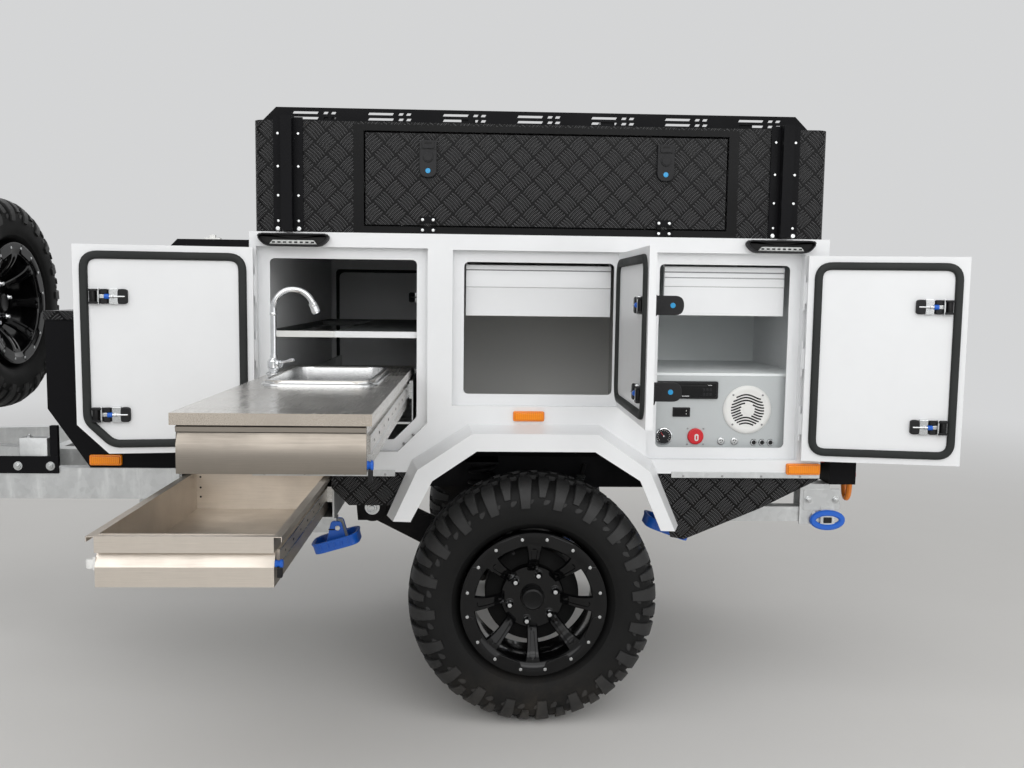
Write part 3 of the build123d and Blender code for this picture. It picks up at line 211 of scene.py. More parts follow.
def makeTreadPlate():
    # Cells of a square grid turned by 45 degrees, every second one turned by 90. In
    # each, five bars lie side by side, thick in the middle and pointed at the ends.
    group, given, out = makeGroup("treadPlate", [("Vector", "Vector", None), ("Normal", "Vector", None),
                                                 ("Cell", "Float", 0.0455)], ["Bar"])
    place = put(group, "ShaderNodeSeparateXYZ")
    feed(group, place.inputs[0], given.outputs["Vector"])
    facing = put(group, "ShaderNodeSeparateXYZ")
    feed(group, facing.inputs[0], given.outputs["Normal"])
    endFace = calc(group, "GREATER_THAN", calc(group, "ABSOLUTE", facing.outputs["X"]), 0.7)
    topFace = calc(group, "GREATER_THAN", calc(group, "ABSOLUTE", facing.outputs["Z"]), 0.7)

    def choose(mask, first, second):
        return calc(group, "ADD", calc(group, "MULTIPLY", first, calc(group, "SUBTRACT", 1.0, mask)),
                    calc(group, "MULTIPLY", second, mask))

    u = choose(endFace, place.outputs["X"], place.outputs["Y"])
    v = choose(topFace, place.outputs["Z"], place.outputs["Y"])
    rootTwo, pitch, halfLong, halfWide = 1.41421, 0.18, 0.46, 0.062
    size = calc(group, "MULTIPLY", given.outputs["Cell"], rootTwo)
    p = calc(group, "DIVIDE", calc(group, "ADD", u, v), size)
    q = calc(group, "DIVIDE", calc(group, "SUBTRACT", u, v), size)
    parity = calc(group, "FLOORED_MODULO", calc(group, "ADD", calc(group, "FLOOR", p),
                                                calc(group, "FLOOR", q)), 2.0)
    inP = calc(group, "SUBTRACT", calc(group, "FRACT", p), 0.5)
    inQ = calc(group, "SUBTRACT", calc(group, "FRACT", q), 0.5)
    along, across = choose(parity, inP, inQ), choose(parity, inQ, inP)
    nearest = calc(group, "MULTIPLY", calc(group, "ROUND", calc(group, "DIVIDE", across, pitch)), pitch)
    offBar = calc(group, "ABSOLUTE", calc(group, "SUBTRACT", across, nearest))
    reach = calc(group, "DIVIDE", along, halfLong)
    taper = calc(group, "SQRT", calc(group, "MAXIMUM", calc(group, "SUBTRACT", 1.0,
                 calc(group, "MULTIPLY", reach, reach)), 0.0))
    edge = calc(group, "SUBTRACT", calc(group, "MULTIPLY", taper, halfWide), offBar)
    inside = calc(group, "LESS_THAN", calc(group, "ABSOLUTE", nearest), 0.4)
    bar = calc(group, "MULTIPLY", ramp(group, edge, -0.012, 0.03), inside)
    feed(group, out.inputs["Bar"], bar)
    return group


def makeBoxMask():
    # 1 where a point lies above the low corner and below the high one on all three axes
    group, given, out = makeGroup("boxMask", [("Vector", "Vector", None), ("Low", "Vector", (0, 0, 0)),
                                              ("High", "Vector", (1, 1, 1))], ["Mask"])
    sides = []
    for pair in (("Vector", "Low"), ("High", "Vector")):
        node = put(group, "ShaderNodeVectorMath", operation="SUBTRACT")
        for socket, name in zip(node.inputs, pair):
            feed(group, socket, given.outputs[name])
        split = put(group, "ShaderNodeSeparateXYZ")
        feed(group, split.inputs[0], node.outputs[0])
        sides += [split.outputs[i] for i in range(3)]
    least = sides[0]
    for value in sides[1:]:
        least = calc(group, "MINIMUM", least, value)
    feed(group, out.inputs["Mask"], calc(group, "GREATER_THAN", least, 0.0))
    return group


paintGrain, roadDust, brushedLines = makePaintGrain(), makeDust(), makeBrushed()
zincSpangle, treadPlate, boxMask = makeSpangle(), makeTreadPlate(), makeBoxMask()
print("shader groups made")


# Materials

dustColour = (0.42, 0.35, 0.27)


class Finish:
    # a material with its Principled shader, object coordinates and bump
    def __init__(self, name, colour, roughness, metallic=0.0, **settings):
        self.material = bpy.data.materials.new(name)
        self.material.use_nodes = True
        self.tree = self.material.node_tree
        self.shader = self.tree.nodes["Principled BSDF"]
        self.place = put(self.tree, "ShaderNodeTexCoord")
        self.vector = self.place.outputs["Object"]
        self.normal = self.place.outputs["Normal"]
        self.shader.inputs["Base Color"].default_value = (*colour, 1.0)
        self.shader.inputs["Roughness"].default_value = roughness
        self.shader.inputs["Metallic"].default_value = metallic
        for label, value in settings.items():
            self.shader.inputs[label.replace("_", " ")].default_value = value
        self.colour = colour

    def paint(self, mask, colour):
        self.colour = blendColour(self.tree, mask, self.colour, colour)
        feed(self.tree, self.shader.inputs["Base Color"], self.colour)

    def rough(self, value, low, high):
        feed(self.tree, self.shader.inputs["Roughness"], ramp(self.tree, value, 0.3, 0.7, low, high))

    def bump(self, height, distance):
        node = put(self.tree, "ShaderNodeBump")
        node.inputs["Distance"].default_value = distance
        node.inputs["Strength"].default_value = 1.0
        feed(self.tree, node.inputs["Height"], height)
        if self.shader.inputs["Normal"].links:
            feed(self.tree, node.inputs["Normal"], self.shader.inputs["Normal"].links[0].from_socket)
        feed(self.tree, self.shader.inputs["Normal"], node.outputs[0])

    def dusty(self, high, amount):
        mask = useGroup(self.tree, roadDust, Vector=self.vector, High=high, Amount=amount)["Mask"]
        self.paint(mask, dustColour)

    def masked(self, low, high):
        a, b = toFrame(low), toFrame(high)
        return useGroup(self.tree, boxMask, Vector=self.vector, Low=tuple(a), High=tuple(b))["Mask"]


def powderCoat(name, colour, roughness, peel=0.00006, dust=0.25, grainSize=600.0, **settings):
    finish = Finish(name, colour, roughness, **settings)
    grain = useGroup(finish.tree, paintGrain, Vector=finish.vector, Size=grainSize)
    finish.paint(ramp(finish.tree, grain["Tone"], 0.3, 0.75, 0.0, 0.5), scaled(colour, 0.93))
    finish.rough(grain["Tone"], roughness * 0.9, roughness * 1.2)
    finish.bump(grain["Height"], peel)
    if dust:
        finish.dusty(0.15, dust)
    return finish


def brushedSteel(name, colour, roughness, lines, **settings):
    finish = Finish(name, colour, roughness, metallic=1.0, **settings)
    grain = useGroup(finish.tree, brushedLines, Vector=finish.vector, Lines=lines)
    finish.paint(ramp(finish.tree, grain["Tone"], 0.35, 0.7), scaled(colour, 0.84))
    finish.rough(grain["Tone"], roughness * 0.75, roughness * 1.3)
    finish.bump(grain["Height"], 0.00003)
    return finish


def galvanisedSteel(name, colour, roughness, paintedShade=()):
    # the boxes given last are painted near black: painted shade, for the deep shade behind the wheel arches
    finish = Finish(name, colour, roughness, metallic=0.85)
    zinc = useGroup(finish.tree, zincSpangle, Vector=finish.vector, Size=70.0)
    finish.paint(calc(finish.tree, "MULTIPLY", zinc["Tone"], 0.35), scaled(colour, 0.72))
    finish.paint(ramp(finish.tree, zinc["Streak"], 0.5, 0.72, 0.0, 0.55), (0.74, 0.75, 0.74))
    finish.rough(zinc["Streak"], roughness * 0.8, roughness * 1.35)
    finish.bump(zinc["Streak"], 0.0004)
    finish.dusty(0.12, 0.4)
    for low, high in paintedShade:
        finish.paint(finish.masked(low, high), (0.008, 0.008, 0.009))
    return finish


def treadSheet(name, colour, roughness, flat=()):
    # raised bars over the whole sheet, but for the flat parts between two corners each
    finish = powderCoat(name, colour, roughness, dust=0.2, Specular_IOR_Level=0.1)
    plate = useGroup(finish.tree, treadPlate, Vector=finish.vector, Normal=finish.normal)
    bar = plate["Bar"]
    for low, high in flat:
        bar = calc(finish.tree, "MULTIPLY", bar, calc(finish.tree, "SUBTRACT", 1.0, finish.masked(low, high)))
    # the bars painted lighter and their edges light grey below are painted highlight, the glint of light on the bars
    barGlint = calc(finish.tree, "MULTIPLY", calc(finish.tree, "MULTIPLY", bar, 3.2),
                calc(finish.tree, "SUBTRACT", 1.0, bar))
    finish.paint(calc(finish.tree, "MULTIPLY", bar, 0.7), scaled(colour, 2.2))
    finish.paint(calc(finish.tree, "MULTIPLY", barGlint, 0.95, clamp=True), (0.26, 0.26, 0.265))
    finish.bump(bar, 0.003)
    return finish


white = powderCoat("whitePaint", (0.80, 0.81, 0.82), 0.33, dust=0.2)
lining = powderCoat("innerLining", (0.068, 0.074, 0.073), 0.55, dust=0.0)
# the kitchen part stays near black, the middle is painted grey and the rear pale: partly the lining's own paint, partly
# painted shade, darker where less light gets in
lining.paint(lining.masked((-267, -700, 700), (296, 700, 1500)), (0.58, 0.58, 0.565))
lining.paint(lining.masked((296, -700, 700), (1000, 700, 1500)), (0.85, 0.88, 0.88))
lining.paint(lining.masked((-800, -700, 1120), (-286.5, -627, 1145)), (0.80, 0.81, 0.82))
blackPaint = powderCoat("blackPaint", (0.007, 0.007, 0.008), 0.4, grainSize=900.0, Specular_IOR_Level=0.06)
blackTread = treadSheet("blackTreadPlate", (0.004, 0.004, 0.0043), 0.3)
roofTread = treadSheet("roofBoxTreadPlate", (0.004, 0.004, 0.0043), 0.3,
                       flat=[((-900, -700, 1400), (900, -667.5, 1800)), ((-900, 667.5, 1400), (900, 700, 1800))])
blackPlastic = powderCoat("blackMoulding", (0.010, 0.010, 0.011), 0.46, grainSize=1600.0, dust=0.1,
                          Specular_IOR_Level=0.24)
sealRubber = powderCoat("sealRubber", (0.022, 0.024, 0.0235), 0.62, grainSize=900.0, dust=0.0,
                        Specular_IOR_Level=0.25)
tyreRubber = powderCoat("tyreRubber", (0.008, 0.008, 0.008), 0.6, peel=0.0002, grainSize=260.0, dust=0.0,
                        Specular_IOR_Level=0.16)
tyreRubber.dusty(groundZ + 0.24, 0.12)
# the lugs are painted lighter than the carcass: painted highlight, for light caught on the lug tops
tyreLug = powderCoat("tyreLug", (0.020, 0.020, 0.020), 0.55, peel=0.0003, grainSize=260.0, dust=0.0,
                     Specular_IOR_Level=0.34)
tyreLug.dusty(groundZ + 0.24, 0.14)
rimBlack = powderCoat("rimBlackGloss", (0.003, 0.003, 0.0033), 0.12, peel=0.00003, grainSize=300.0, dust=0.0,
                      Coat_Weight=0.18, Coat_Roughness=0.04, Specular_IOR_Level=0.18)
steelTop = brushedSteel("brushedStainless", (0.62, 0.60, 0.57), 0.26, (900.0, 10.0, 900.0))
steelTop.paint(steelTop.masked((-730, -1700, 900), (-350, -1672.5, 1040)), (0.56, 0.50, 0.43))
steelFront = brushedSteel("brushedFront", (0.66, 0.60, 0.53), 0.42, (10.0, 900.0, 900.0))
steelBright = brushedSteel("pressedSink", (0.58, 0.585, 0.585), 0.2, (200.0, 200.0, 200.0))
zincPlate = brushedSteel("zincPlate", (0.56, 0.57, 0.57), 0.26, (60.0, 300.0, 300.0))
chrome = brushedSteel("chromePlate", (0.66, 0.67, 0.68), 0.09, (40.0, 40.0, 40.0))
screwSteel = brushedSteel("screwSteel", (0.34, 0.34, 0.34), 0.3, (200.0, 200.0, 200.0))
warmSteel = brushedSteel("warmSteel", (0.28, 0.25, 0.215), 0.38, (10.0, 900.0, 900.0))
panelGrey = powderCoat("panelGrey", (0.50, 0.525, 0.53), 0.4, dust=0.0)
galvanised = galvanisedSteel("galvanisedSteel", (0.55, 0.56, 0.56), 0.42)
# the box round the wheel arches is painted near black: painted shade, not the galvanised steel's own colour
frameSteel = galvanisedSteel("frameGalvanised", (0.55, 0.56, 0.56), 0.42,
                             paintedShade=[((-470, -760, 560), (440, 760, 742))])
bluePlastic = powderCoat("bluePlastic", (0.01, 0.12, 0.58), 0.35, dust=0.12)
redPlastic = powderCoat("redPlastic", (0.62, 0.01, 0.02), 0.3, dust=0.0)
whitePlastic = powderCoat("whiteMoulding", (0.76, 0.76, 0.74), 0.38, dust=0.0)
orangePaint = powderCoat("orangePaint", (0.85, 0.24, 0.02), 0.32, dust=0.1)
cyanDot = powderCoat("blueInsert", (0.01, 0.30, 0.62), 0.3, dust=0.0)
# dark grey for the bottoms of grooves and creases: painted shade
foldShade = powderCoat("foldShade", (0.20, 0.205, 0.21), 0.5, dust=0.0)
# near black for holes, slots, grooves and recesses: painted shade in place of their depth
darkGap = powderCoat("darkGap", (0.004, 0.004, 0.004), 0.8, dust=0.0)
capBlack = powderCoat("capBlack", (0.006, 0.006, 0.0062), 0.3, dust=0.0, Specular_IOR_Level=0.16)
castIron = powderCoat("castIron", (0.010, 0.010, 0.010), 0.7, peel=0.0003, grainSize=200.0, dust=0.0,
                      Specular_IOR_Level=0.2)


def lampLens(name, colour, ribs):
    # clear ribs moulded on the inside of a tinted lens
    finish = Finish(name, colour, 0.18, Coat_Weight=0.35, Coat_Roughness=0.05, Specular_IOR_Level=0.3)
    wave = put(finish.tree, "ShaderNodeTexWave", wave_type="BANDS", bands_direction="X")
    feed(finish.tree, wave.inputs["Vector"], finish.vector)
    wave.inputs["Scale"].default_value = ribs
    finish.paint(ramp(finish.tree, wave.outputs["Fac"], 0.2, 0.9, 0.0, 0.5), scaled(colour, 0.75))
    finish.bump(wave.outputs["Fac"], 0.0003)
    return finish


amberLens = lampLens("amberLens", (0.93, 0.27, 0.0), 55.0)
redLens = lampLens("redLens", (0.55, 0.01, 0.01), 55.0)
ledLens = lampLens("ledStrip", (0.50, 0.51, 0.50), 24.0)
print("materials made:", len(bpy.data.materials))


# Camera, light and floor

cameraPlace = {"x": -171.4, "y": -3385.0, "z": 1255.8, "yaw": 2.18, "pitch": 5.45, "roll": 0.72,
               "focalPixels": 950.0, "imageWidth": 1024.0}
studio = {"sky": 0.28, "floorColour": (0.74, 0.73, 0.71), "backColour": (0.66, 0.665, 0.67), "floorEdge": 60.0,
          "fade": (2.6, 9.0)}
lightTable = {
    # place and target in millimetres, width and height in metres, power
    "key": ((-1200, -4300, 5000), (0, 0, 700), (9.0, 6.0), 225.0),
    "side": ((4200, -4800, 2600), (0, 0, 700), (6.0, 4.5), 85.0),
    "front": ((-300, -8200, 3100), (0, 0, 800), (8.0, 2.8), 128.25),
    "back": ((-800, 4800, 4600), (0, 0, 700), (9.0, 6.0), 120.0),
}


def makeCamera(c):
    yaw, pitch, roll = (np.radians(c[key]) for key in ("yaw", "pitch", "roll"))
    ahead = np.array([np.sin(yaw) * np.cos(pitch), np.cos(yaw) * np.cos(pitch), -np.sin(pitch)])
    right = np.array([np.cos(yaw), -np.sin(yaw), 0.0])
    up = np.cross(right, ahead)
    tiltedRight = np.cos(roll) * right + np.sin(roll) * up
    tiltedUp = np.cos(roll) * up - np.sin(roll) * right
    data = bpy.data.cameras.new("camera")
    data.sensor_width = 36.0
    data.lens = c["focalPixels"] / c["imageWidth"] * data.sensor_width
    camera = bpy.data.objects.new("camera", data)
    bpy.context.scene.collection.objects.link(camera)
    matrix = np.eye(4)
    matrix[:3, 0], matrix[:3, 1], matrix[:3, 2] = tiltedRight, tiltedUp, -ahead
    matrix[:3, 3] = toFrame([c["x"], c["y"], c["z"]])
    camera.matrix_world = Matrix(matrix.tolist())
    bpy.context.scene.camera = camera


def makeLight(name, place, target, size, power):
    data = bpy.data.lights.new(name, "AREA")
    data.shape, data.size, data.size_y, data.energy = "RECTANGLE", size[0], size[1], power
    light = bpy.data.objects.new(name, data)
    bpy.context.scene.collection.objects.link(light)
    start, end = Vector(toFrame(place)), Vector(toFrame(target))
    light.location = start
    light.rotation_euler = (end - start).to_track_quat("-Z", "Y").to_euler()


def pathMasked(tree, seen, lit):
    # what the camera and reflections see is one colour, what lights the object is another
    path = put(tree, "ShaderNodeLightPath")
    mask = calc(tree, "MAXIMUM", path.outputs["Is Camera Ray"],
                calc(tree, "MAXIMUM", path.outputs["Is Glossy Ray"], path.outputs["Is Transmission Ray"]))
    return blendColour(tree, mask, lit, seen)


def makeStudio(s):
    world = bpy.data.worlds.new("studio")
    world.use_nodes = True
    bpy.context.scene.world = world
    back = world.node_tree.nodes["Background"]
    feed(world.node_tree, back.inputs["Color"],
         pathMasked(world.node_tree, s["backColour"], (s["sky"],) * 3))
    mesh = bpy.data.meshes.new("floor")
    edge = s["floorEdge"]
    mesh.from_pydata([(-edge, -edge, groundZ), (edge, -edge, groundZ), (edge, edge, groundZ),
                      (-edge, edge, groundZ)], [], [(0, 1, 2, 3)])
    floor = bpy.data.objects.new("floor", mesh)
    bpy.context.scene.collection.objects.link(floor)
    finish = Finish("studioFloor", s["floorColour"], 0.85)
    cloud = noise(finish.tree, finish.vector, 1.3, 5.0, 0.6)
    finish.paint(ramp(finish.tree, cloud, 0.3, 0.7, 0.0, 0.4), scaled(s["floorColour"], 0.95))
    # far from the trailer the floor shows the backdrop's own colour, so that no horizon is seen
    far = put(finish.tree, "ShaderNodeVectorMath", operation="DISTANCE")
    feed(finish.tree, far.inputs[0], finish.vector)
    far.inputs[1].default_value = (axleX - 0.7, 0.0, groundZ)
    path = put(finish.tree, "ShaderNodeLightPath")
    seen = calc(finish.tree, "MAXIMUM", path.outputs["Is Camera Ray"], path.outputs["Is Glossy Ray"])
    fade = calc(finish.tree, "MULTIPLY", ramp(finish.tree, far.outputs["Value"], *s["fade"]), seen)
    glow = put(finish.tree, "ShaderNodeEmission")
    glow.inputs["Color"].default_value = (*s["backColour"], 1.0)
    both = put(finish.tree, "ShaderNodeMixShader")
    feed(finish.tree, both.inputs[0], fade)
    feed(finish.tree, both.inputs[1], finish.shader.outputs[0])
    feed(finish.tree, both.inputs[2], glow.outputs[0])
    feed(finish.tree, finish.tree.nodes["Material Output"].inputs["Surface"], both.outputs[0])
    mesh.materials.append(finish.material)
    for name, light in lightTable.items():
        makeLight(name, *light)
    bpy.context.scene.view_settings.view_transform = "Standard"


makeCamera(cameraPlace)
makeStudio(studio)
print("camera, lights and floor made")


# Surfaces. Each is an array of points in millimetres, rows by columns, with a
# note of which way it closes on itself.

class Piece:
    # one object built from many surfaces, carried by a body; place moves its points
    def __init__(self, name, body, place=None):
        self.name, self.body, self.place = name, body, place
        self.surfaces = []

    def add(self, finish, *surfaces):
        for points, closeU, closeV in surfaces:
            points = np.asarray(points, float)
            self.surfaces.append((points.reshape((-1,) + points.shape[-3:]), finish, closeU, closeV))
        return self

    def make(self, replaces=(), sharp=35.0, slot=None):
        spots, quads, kinds, finishes, start = [], [], [], [], 0
        for points, finish, closeU, closeV in self.surfaces:
            sets, rows, columns = points.shape[:3]
            i, j = np.meshgrid(np.arange(rows if closeU else rows - 1),
                               np.arange(columns if closeV else columns - 1), indexing="ij")
            nextI, nextJ = (i + 1) % rows, (j + 1) % columns
            quad = np.stack([i * columns + j, nextI * columns + j, nextI * columns + nextJ,
                             i * columns + nextJ], -1).reshape(-1, 4)
            shift = start + np.arange(sets)[:, None, None] * rows * columns
            quads.append((quad[None] + shift).reshape(-1, 4))
            if finish not in finishes:
                finishes.append(finish)
            kinds.append(np.full(len(quads[-1]), finishes.index(finish)))
            spots.append(points.reshape(-1, 3))
            start += sets * rows * columns
        spots = np.concatenate(spots)
        if self.place:
            spots = self.place(spots)
        mesh = bpy.data.meshes.new(self.name)
        mesh.from_pydata(toFrame(spots).tolist(), [], np.concatenate(quads).tolist())
        mesh.polygons.foreach_set("material_index", np.concatenate(kinds))
        mesh.polygons.foreach_set("use_smooth", np.ones(len(mesh.polygons), bool))
        work = bmesh.new()
        work.from_mesh(mesh)
        bmesh.ops.remove_doubles(work, verts=work.verts, dist=2e-6)
        bmesh.ops.recalc_face_normals(work, faces=work.faces)
        work.to_mesh(mesh)
        work.free()
        mesh.set_sharp_from_angle(angle=np.radians(sharp))
        for finish in finishes:
            mesh.materials.append(finish.material)
        piece = bpy.data.objects.new(self.name, mesh)
        bpy.context.scene.collection.objects.link(piece)
        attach(piece, self.body)
        if replaces:
            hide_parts(*replaces)
        return piece


def unit(vector):
    vector = np.asarray(vector, float)
    return vector / np.linalg.norm(vector, axis=-1, keepdims=True)


def lathe(profile, origin=(0, 0, 0), axis=(0, 0, 1), count=32, turn=0.0):
    # origin + height * axis + radius * (cos a * e1 + sin a * e2)
    profile, axis = np.asarray(profile, float), unit(axis)
    e1 = unit(np.cross(axis, (0.0, 0.31, 0.95) if abs(axis[0]) > 0.5 else (1.0, 0.0, 0.0)))
    e2 = np.cross(axis, e1)
    angle = np.radians(turn) + np.arange(count) * 2 * np.pi / count
    around = np.cos(angle)[:, None] * e1 + np.sin(angle)[:, None] * e2
    points = (np.asarray(origin, float) + profile[:, 1, None, None] * axis
              + profile[:, 0, None, None] * around)
    return points, False, True


def disc(radius, low, high, origin, axis, count=24, bevel=1.0, turn=0.0):
    # a round plate or boss with a bevelled top edge
    profile = [(0, low), (radius, low), (radius, high - bevel), (radius - bevel * 0.3, high - bevel * 0.3),
               (radius - bevel, high), (radius - bevel - min(0.5, bevel / 2), high), (0, high)]
    return lathe(profile, origin, axis, count, turn)


def rounded(corners, radius, steps=5):
    # each corner of an outline becomes a curve pulled towards it: (1-t)^2 a + 2t(1-t) corner + t^2 b
    corners = np.asarray(corners, float)
    radius = np.broadcast_to(radius, len(corners))[:, None]
    before, after = np.roll(corners, 1, 0) - corners, np.roll(corners, -1, 0) - corners
    a = corners + unit(before) * radius
    b = corners + unit(after) * radius
    t = np.linspace(0, 1, steps)[None, :, None]
    curve = (1 - t) ** 2 * a[:, None] + 2 * t * (1 - t) * corners[:, None] + t ** 2 * b[:, None]
    return curve.reshape(-1, 2)


def rect(width, height, radius, x=0.0, y=0.0, steps=5):
    w, h = width / 2, height / 2
    return rounded([(x - w, y - h), (x + w, y - h), (x + w, y + h), (x - w, y + h)], radius, steps)


def inset(outline, distance):
    # each point moves inwards along the mitre of its two edges
    edge = unit(np.roll(outline, -1, 0) - outline + 1e-9)
    normal = np.stack([-edge[:, 1], edge[:, 0]], 1)
    mean = normal + np.roll(normal, 1, 0)
    return outline + distance * mean / np.maximum(1 + (normal * np.roll(normal, 1, 0)).sum(1), 0.3)[:, None]


def slab(outline, frame, low, high, bevel=1.0, crown=0.0):
    # rings of one outline from low to high, the top ones drawn in, closed at both middles
    origin, ex, ey, ez = (np.asarray(v, float) for v in frame)
    outline = np.asarray(outline, float)
    middle = np.broadcast_to(outline.mean(0), outline.shape)
    rings = [(middle, low), (outline, low), (outline, high - bevel), (inset(outline, bevel * 0.3), high - bevel * 0.3),
             (inset(outline, bevel), high), (inset(outline, bevel + min(0.5, bevel / 2)), high),
             (middle, high + crown)]
    points = [origin + ring[:, :1] * ex + ring[:, 1:] * ey + height * ez for ring, height in rings]
    return np.stack(points), False, True


def facing(spot, axis, way=1):
    # a slab's frame at a spot: its top looks along the axis, or against it where way is -1
    across = (0, 1, 0) if axis == "x" else (1, 0, 0)
    up = (0, 1, 0) if axis == "z" else (0, 0, 1)
    return spot, across, up, tuple(way if name == axis else 0 for name in "xyz")


def tube(path, section, closed=False, up=(0, 0, 1)):
    # a section carried along a path, kept upright by up; a number as section is a round one
    path = np.asarray(path, float)
    if np.isscalar(section):
        angle = np.arange(12) * 2 * np.pi / 12
        section = section * np.stack([np.cos(angle), np.sin(angle)], 1)
    section = np.asarray(section, float)
    if closed:
        ahead = unit(np.roll(path, -1, 0) - np.roll(path, 1, 0))
    else:
        ahead = unit(np.gradient(path, axis=0))
    across = unit(np.cross(ahead, np.broadcast_to(up, path.shape)))
    above = np.cross(across, ahead)
    points = (path[:, None] + section[None, :, :1] * across[:, None] + section[None, :, 1:] * above[:, None])
    if not closed:
        first, last = (np.broadcast_to(path[k], (1,) + points.shape[1:]) for k in (0, -1))
        points = np.concatenate([first, points, last])
    return points, closed, True


def smoothPath(corners, radius):
    # an open path whose inner corners are curved as in rounded
    corners = np.asarray(corners, float)
    points = [corners[:1]]
    t = np.linspace(0, 1, 8)[:, None]
    for a, b, c in zip(corners[:-2], corners[1:-1], corners[2:]):
        p, q = b + unit(a - b) * radius, b + unit(c - b) * radius
        points.append((1 - t) ** 2 * p + 2 * t * (1 - t) * b + t ** 2 * q)
    return np.concatenate(points + [corners[-1:]])


def mirrored(points):
    return points * [1, -1, 1]


print("surface tools ready")


# Tyres. The carcass is a superellipse: radius = middle + a*|sin|^(2/n), width = b*|cos|^(2/n).
# Lugs are sections carried along that profile, raised off it.

tyreSize = {"radius": 366.0, "middle": 281.0, "carcass": 73.0, "halfWidth": 112.0, "power": 2.8,
            "lugs": 40, "grooveDepth": 12.0}
wheelAxle = {"left": -627.5, "right": 627.5}
spareAxle = {"x": -1521.5 - 356.0, "z": 1200.0}


def wheelPlace(kind):
    # points (across, up, outwards) of a wheel go to its axle, outwards away from the trailer
    def place(p):
        if kind == "spare":
            return np.stack([spareAxle["x"] + p[:, 2], p[:, 0], spareAxle["z"] + p[:, 1]], 1)
        hand = -1 if kind == "left" else 1
        return np.stack([p[:, 0], wheelAxle[kind] + hand * p[:, 2], tyreSize["radius"] + p[:, 1]], 1)
    return place


def tyreProfile(s, count=400):
    angle = np.linspace(-np.pi / 2, 1.5 * np.pi, count)
    sine, cosine = np.sin(angle), np.cos(angle)
    radius = s["middle"] + s["carcass"] * np.sign(sine) * np.abs(sine) ** (2 / s["power"])
    width = s["halfWidth"] * np.sign(cosine) * np.abs(cosine) ** (2 / s["power"])
    ribs = 1.6 * np.exp(-((radius - 236) / 2.5) ** 2) + 1.2 * np.exp(-((radius - 292) / 2.0) ** 2)
    return radius, width * (1 + ribs / s["halfWidth"])


def lugRow(s, side, place0, place1, half, height, count, shift, skew, rows=7):
    # section points (sideways, raised) follow the profile from place0 to place1, which are
    # distances from the middle of the tread; the ends drop to the carcass
    radius, width = tyreProfile(s, 4001)
    crown = len(radius) // 2
    radius, width = (radius[crown:], width[crown:]) if side < 0 else (radius[crown::-1], width[crown::-1])
    run = np.concatenate([[0], np.cumsum(np.hypot(np.diff(radius), np.diff(width)))])
    t = np.linspace(0, 1, rows)
    d = place0 + (place1 - place0) * t
    base = np.stack([np.interp(d, run, radius), np.interp(d, run, width)], 1)
    ahead = unit(np.stack([np.interp(d + 1, run, radius) - np.interp(d - 1, run, radius),
                           np.interp(d + 1, run, width) - np.interp(d - 1, run, width)], 1))
    out = np.stack([ahead[:, 1], -ahead[:, 0]], 1)
    out *= np.sign((out * (base - [s["middle"], 0])).sum(1))[:, None]
    raised = np.interp(t, *height)
    sideways = np.interp(t, *half)
    bevel = 2.0
    section = np.stack([np.stack([-sideways, np.full(rows, -4.0)], 1), np.stack([-sideways, raised - bevel], 1),
                        np.stack([-sideways + bevel, raised], 1), np.stack([sideways - bevel, raised], 1),
                        np.stack([sideways, raised - bevel], 1), np.stack([sideways, np.full(rows, -4.0)], 1)], 1)
    spot = base[:, None] + section[..., 1:] * out[:, None]
    ends = [np.broadcast_to(spot[k].mean(0) - 1.0 * out[k], (1,) + spot.shape[1:]) for k in (0, -1)]
    spot = np.concatenate([ends[0], spot, ends[1]])
    across = np.concatenate([np.zeros((1, 6)), section[..., 0], np.zeros((1, 6))])
    along = np.concatenate([[0], t, [1]])
    angle = (-np.pi / 2 + (np.arange(count) + shift)[:, None, None] * 2 * np.pi / count
             + (across + skew * along[:, None]) / s["radius"])
    r, w = np.broadcast_to(spot[None, ..., 0], angle.shape), np.broadcast_to(spot[None, ..., 1], angle.shape)
    return np.stack([r * np.cos(angle), r * np.sin(angle), w], -1), False, True


def makeTyre(kind, body, node, s=tyreSize):
    tyre = Piece("tyreTread_" + kind, body, wheelPlace(kind))
    radius, width = tyreProfile(s, 73)
    angle = np.arange(160) * 2 * np.pi / 160
    ring = np.stack([radius[:-1, None] * np.cos(angle), radius[:-1, None] * np.sin(angle),
                     np.broadcast_to(width[:-1, None], (72, 160))], -1)
    tyre.add(tyreRubber, (ring, True, True))
    full = s["grooveDepth"]
    for side in (-1, 1):
        turn = 0.0 if side > 0 else 0.5
        tyre.add(tyreLug,
                 lugRow(s, side, 2, 38, ([0, 0.5, 1], [17, 19, 14]), ([0, 1], [full, full - 0.4]), s["lugs"],
                        turn, 10.0 * side),
                 lugRow(s, side, 45, 152, ([0, 0.35, 0.5, 1], [18, 21, 20, 17]),
                        ([0, 0.3, 0.45, 0.8, 1], [full - 0.3, full - 0.5, 9.4, 6.9, 5.4]), s["lugs"] // 2,
                        0.25 + turn / 2, 6.0),
                 lugRow(s, side, 42, 122, ([0, 0.4, 0.6, 1], [15, 17, 15, 11]),
                        ([0, 0.4, 0.6, 1], [full - 0.3, full - 0.5, 8.4, 5.9]), s["lugs"] // 2, 0.75 + turn / 2, 6.0))
        zigzag = lugRow(s, side, 128, 143, ([0, 0.5, 1], [10, 13, 4]), ([0, 1], [2.6, 1.8]), s["lugs"],
                        0.25 + turn, 9.0, 4)
        tyre.add(tyreLug, zigzag)
    tyre.make(replaces=[node], slot="tyre", sharp=27)


makeTyre("left", "wheel_left", "tyre_left")
makeTyre("right", "wheel_right", "tyre_right")
makeTyre("spare", "trailer", "spare_tyre")
print("tyres made")


# Rims. Depths count back from the rim's front face, 107.5 outwards of the tyre's middle.

